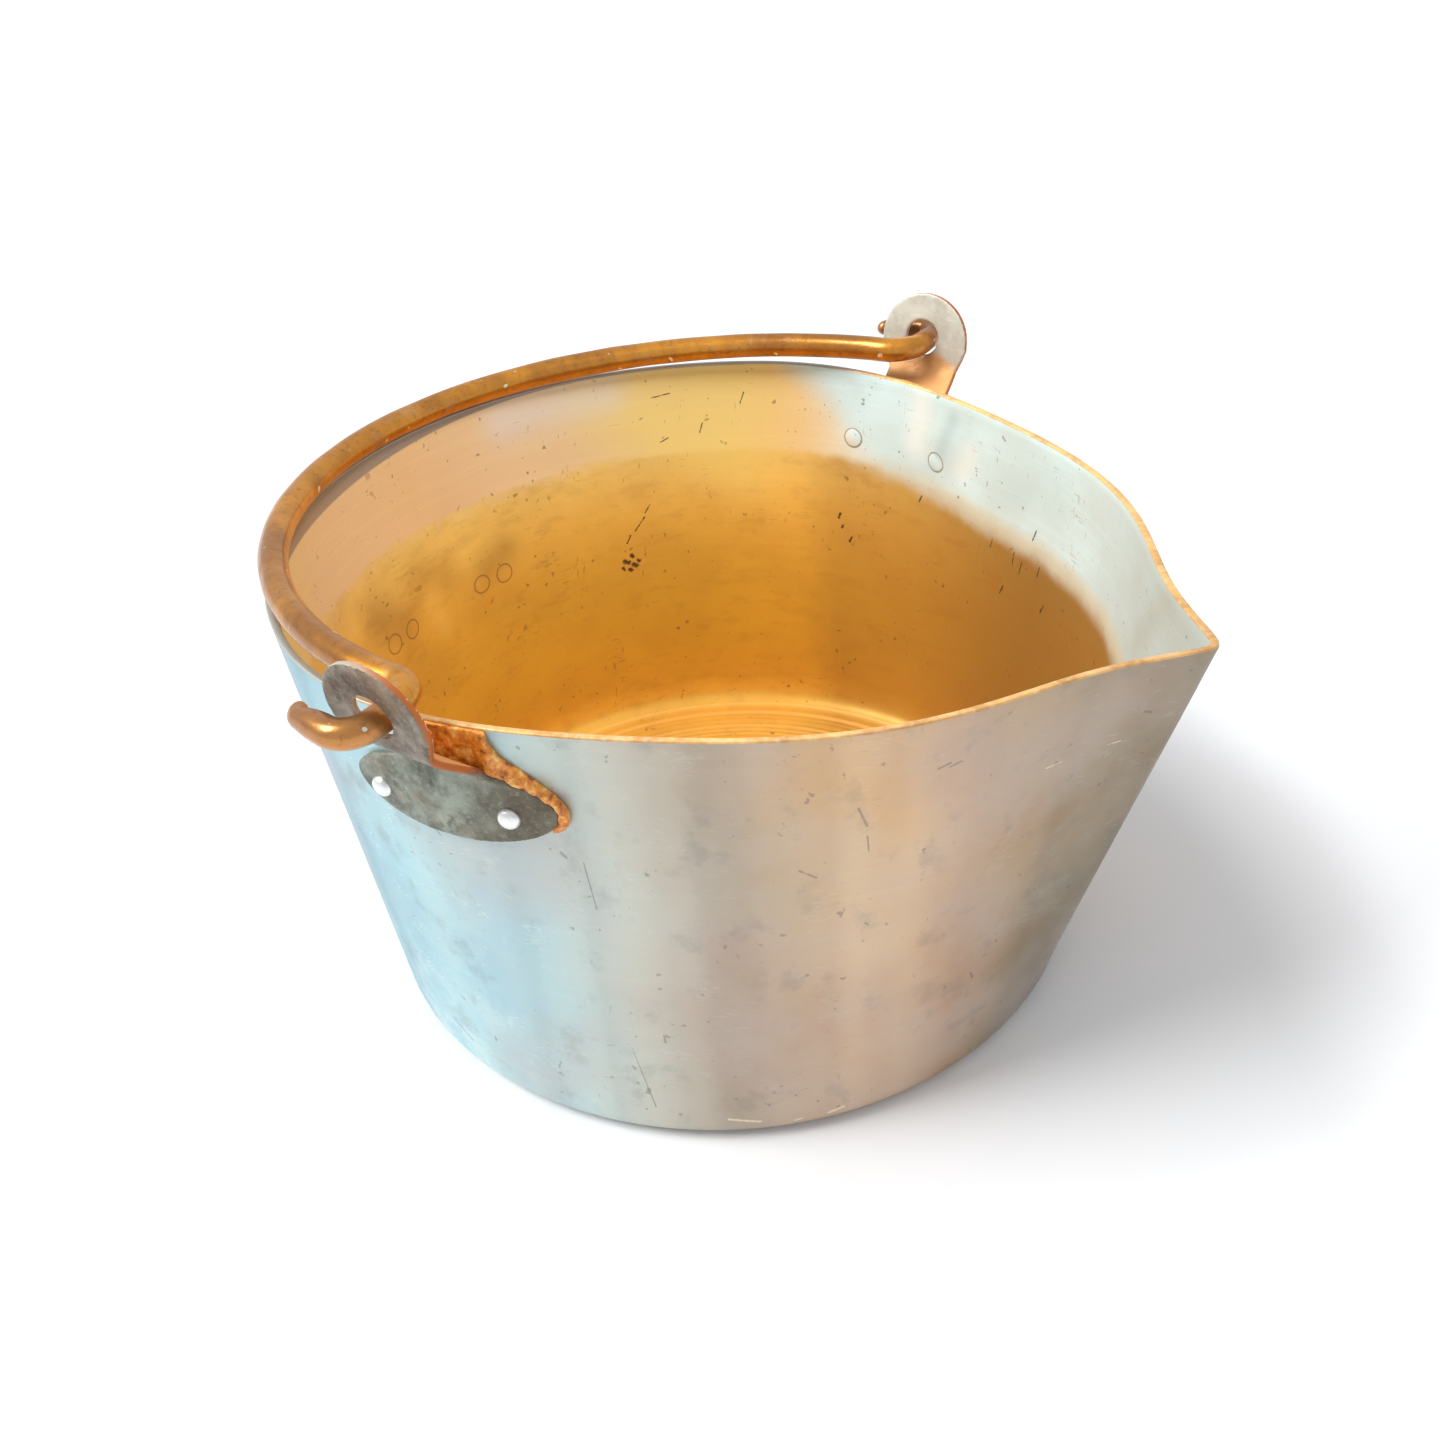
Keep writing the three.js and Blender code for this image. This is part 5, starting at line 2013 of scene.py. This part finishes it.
def rivet_places(ear: BailEar, handle: TippingHandle) -> list[tuple[str, float, float, float]]:
    """Says where the eight rivets sit.

    Args:
        ear: The ears' sizes.
        handle: The tipping handle's sizes.

    Returns:
        For each rivet its node, its angle round the pan, its height and the plate that it holds.
    """
    plan, places = ear.plan, []
    for side in Side:
        name = side.name.lower()
        for end, sign in (("back", -1), ("front", 1)):
            x = np.array(ear.rivet_x + sign * ear.rivet_half)
            angle = float(plan.angle_at_x(x, side, np.array(ear.rivet_height)))
            places.append((f"ear_rivet_{name}_{end}", angle, ear.rivet_height, ear.look_plate))
        for end, sign in (("inner", -1), ("outer", 1)):
            y = np.array(side.value * (handle.foot_spacing / 2 + sign * handle.rivet_half))
            angle = float(plan.back_angle_at_y(y, np.array(handle.height)))
            places.append((f"tipping_rivet_{name}_{end}", angle, handle.height, handle.plate))
    return places


def main() -> None:
    """Builds the studio and every piece in order."""
    logging.basicConfig(level=logging.INFO, format="%(name)s: %(message)s")
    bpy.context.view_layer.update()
    plan = PanPlan(rim_height=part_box("pan_body")[1].z)
    Studio().build()
    steels = tuple(EarSteel(f"ear_{face.name.lower()}", metallic=0.4, face=face).build() for face in EarFace)
    crust = BurntCrust("burnt_crust", metallic=0.0, coat=0.35).build()
    ears = [BailEar(plan, side, steels, crust) for side in Side]
    handle = TippingHandle(plan, steels[0])
    rivets = rivet_places(ears[0], handle)
    seats = tuple(plan.seat(angle, height, -plan.wall) for _, angle, height, _ in rivets)
    outside = OuterSheet("outer_sheet", metallic=0.55, plan=plan).build()
    inside = InnerSheet("inner_sheet", metallic=0.45, plan=plan, rivets=seats).build()
    rim = RimEdge("rim_edge", metallic=0.4).build()
    copper = BailCopper("bail_copper", metallic=0.75, coat=0.3).build()
    bright = RivetMetal("rivet_metal", metallic=0.7).build()

    PanShell(plan, finishes=(outside, inside, rim)).build()
    LOG.info("pan shell made")
    for ear in ears:
        ear.build()
        ear.build_crust()
        LOG.info("%s ear made", ear.side.name.lower())
    Bail(ears[0], copper).build()
    LOG.info("bail made")
    handle.build()
    LOG.info("tipping handle made")
    for node, angle, height, plate in rivets:
        Rivet(plan, node, angle, height, plate, bright, inside).build()
    LOG.info("%d rivets made", len(rivets))

    LOG.info("boxes written")


if __name__ == "__main__":
    main()
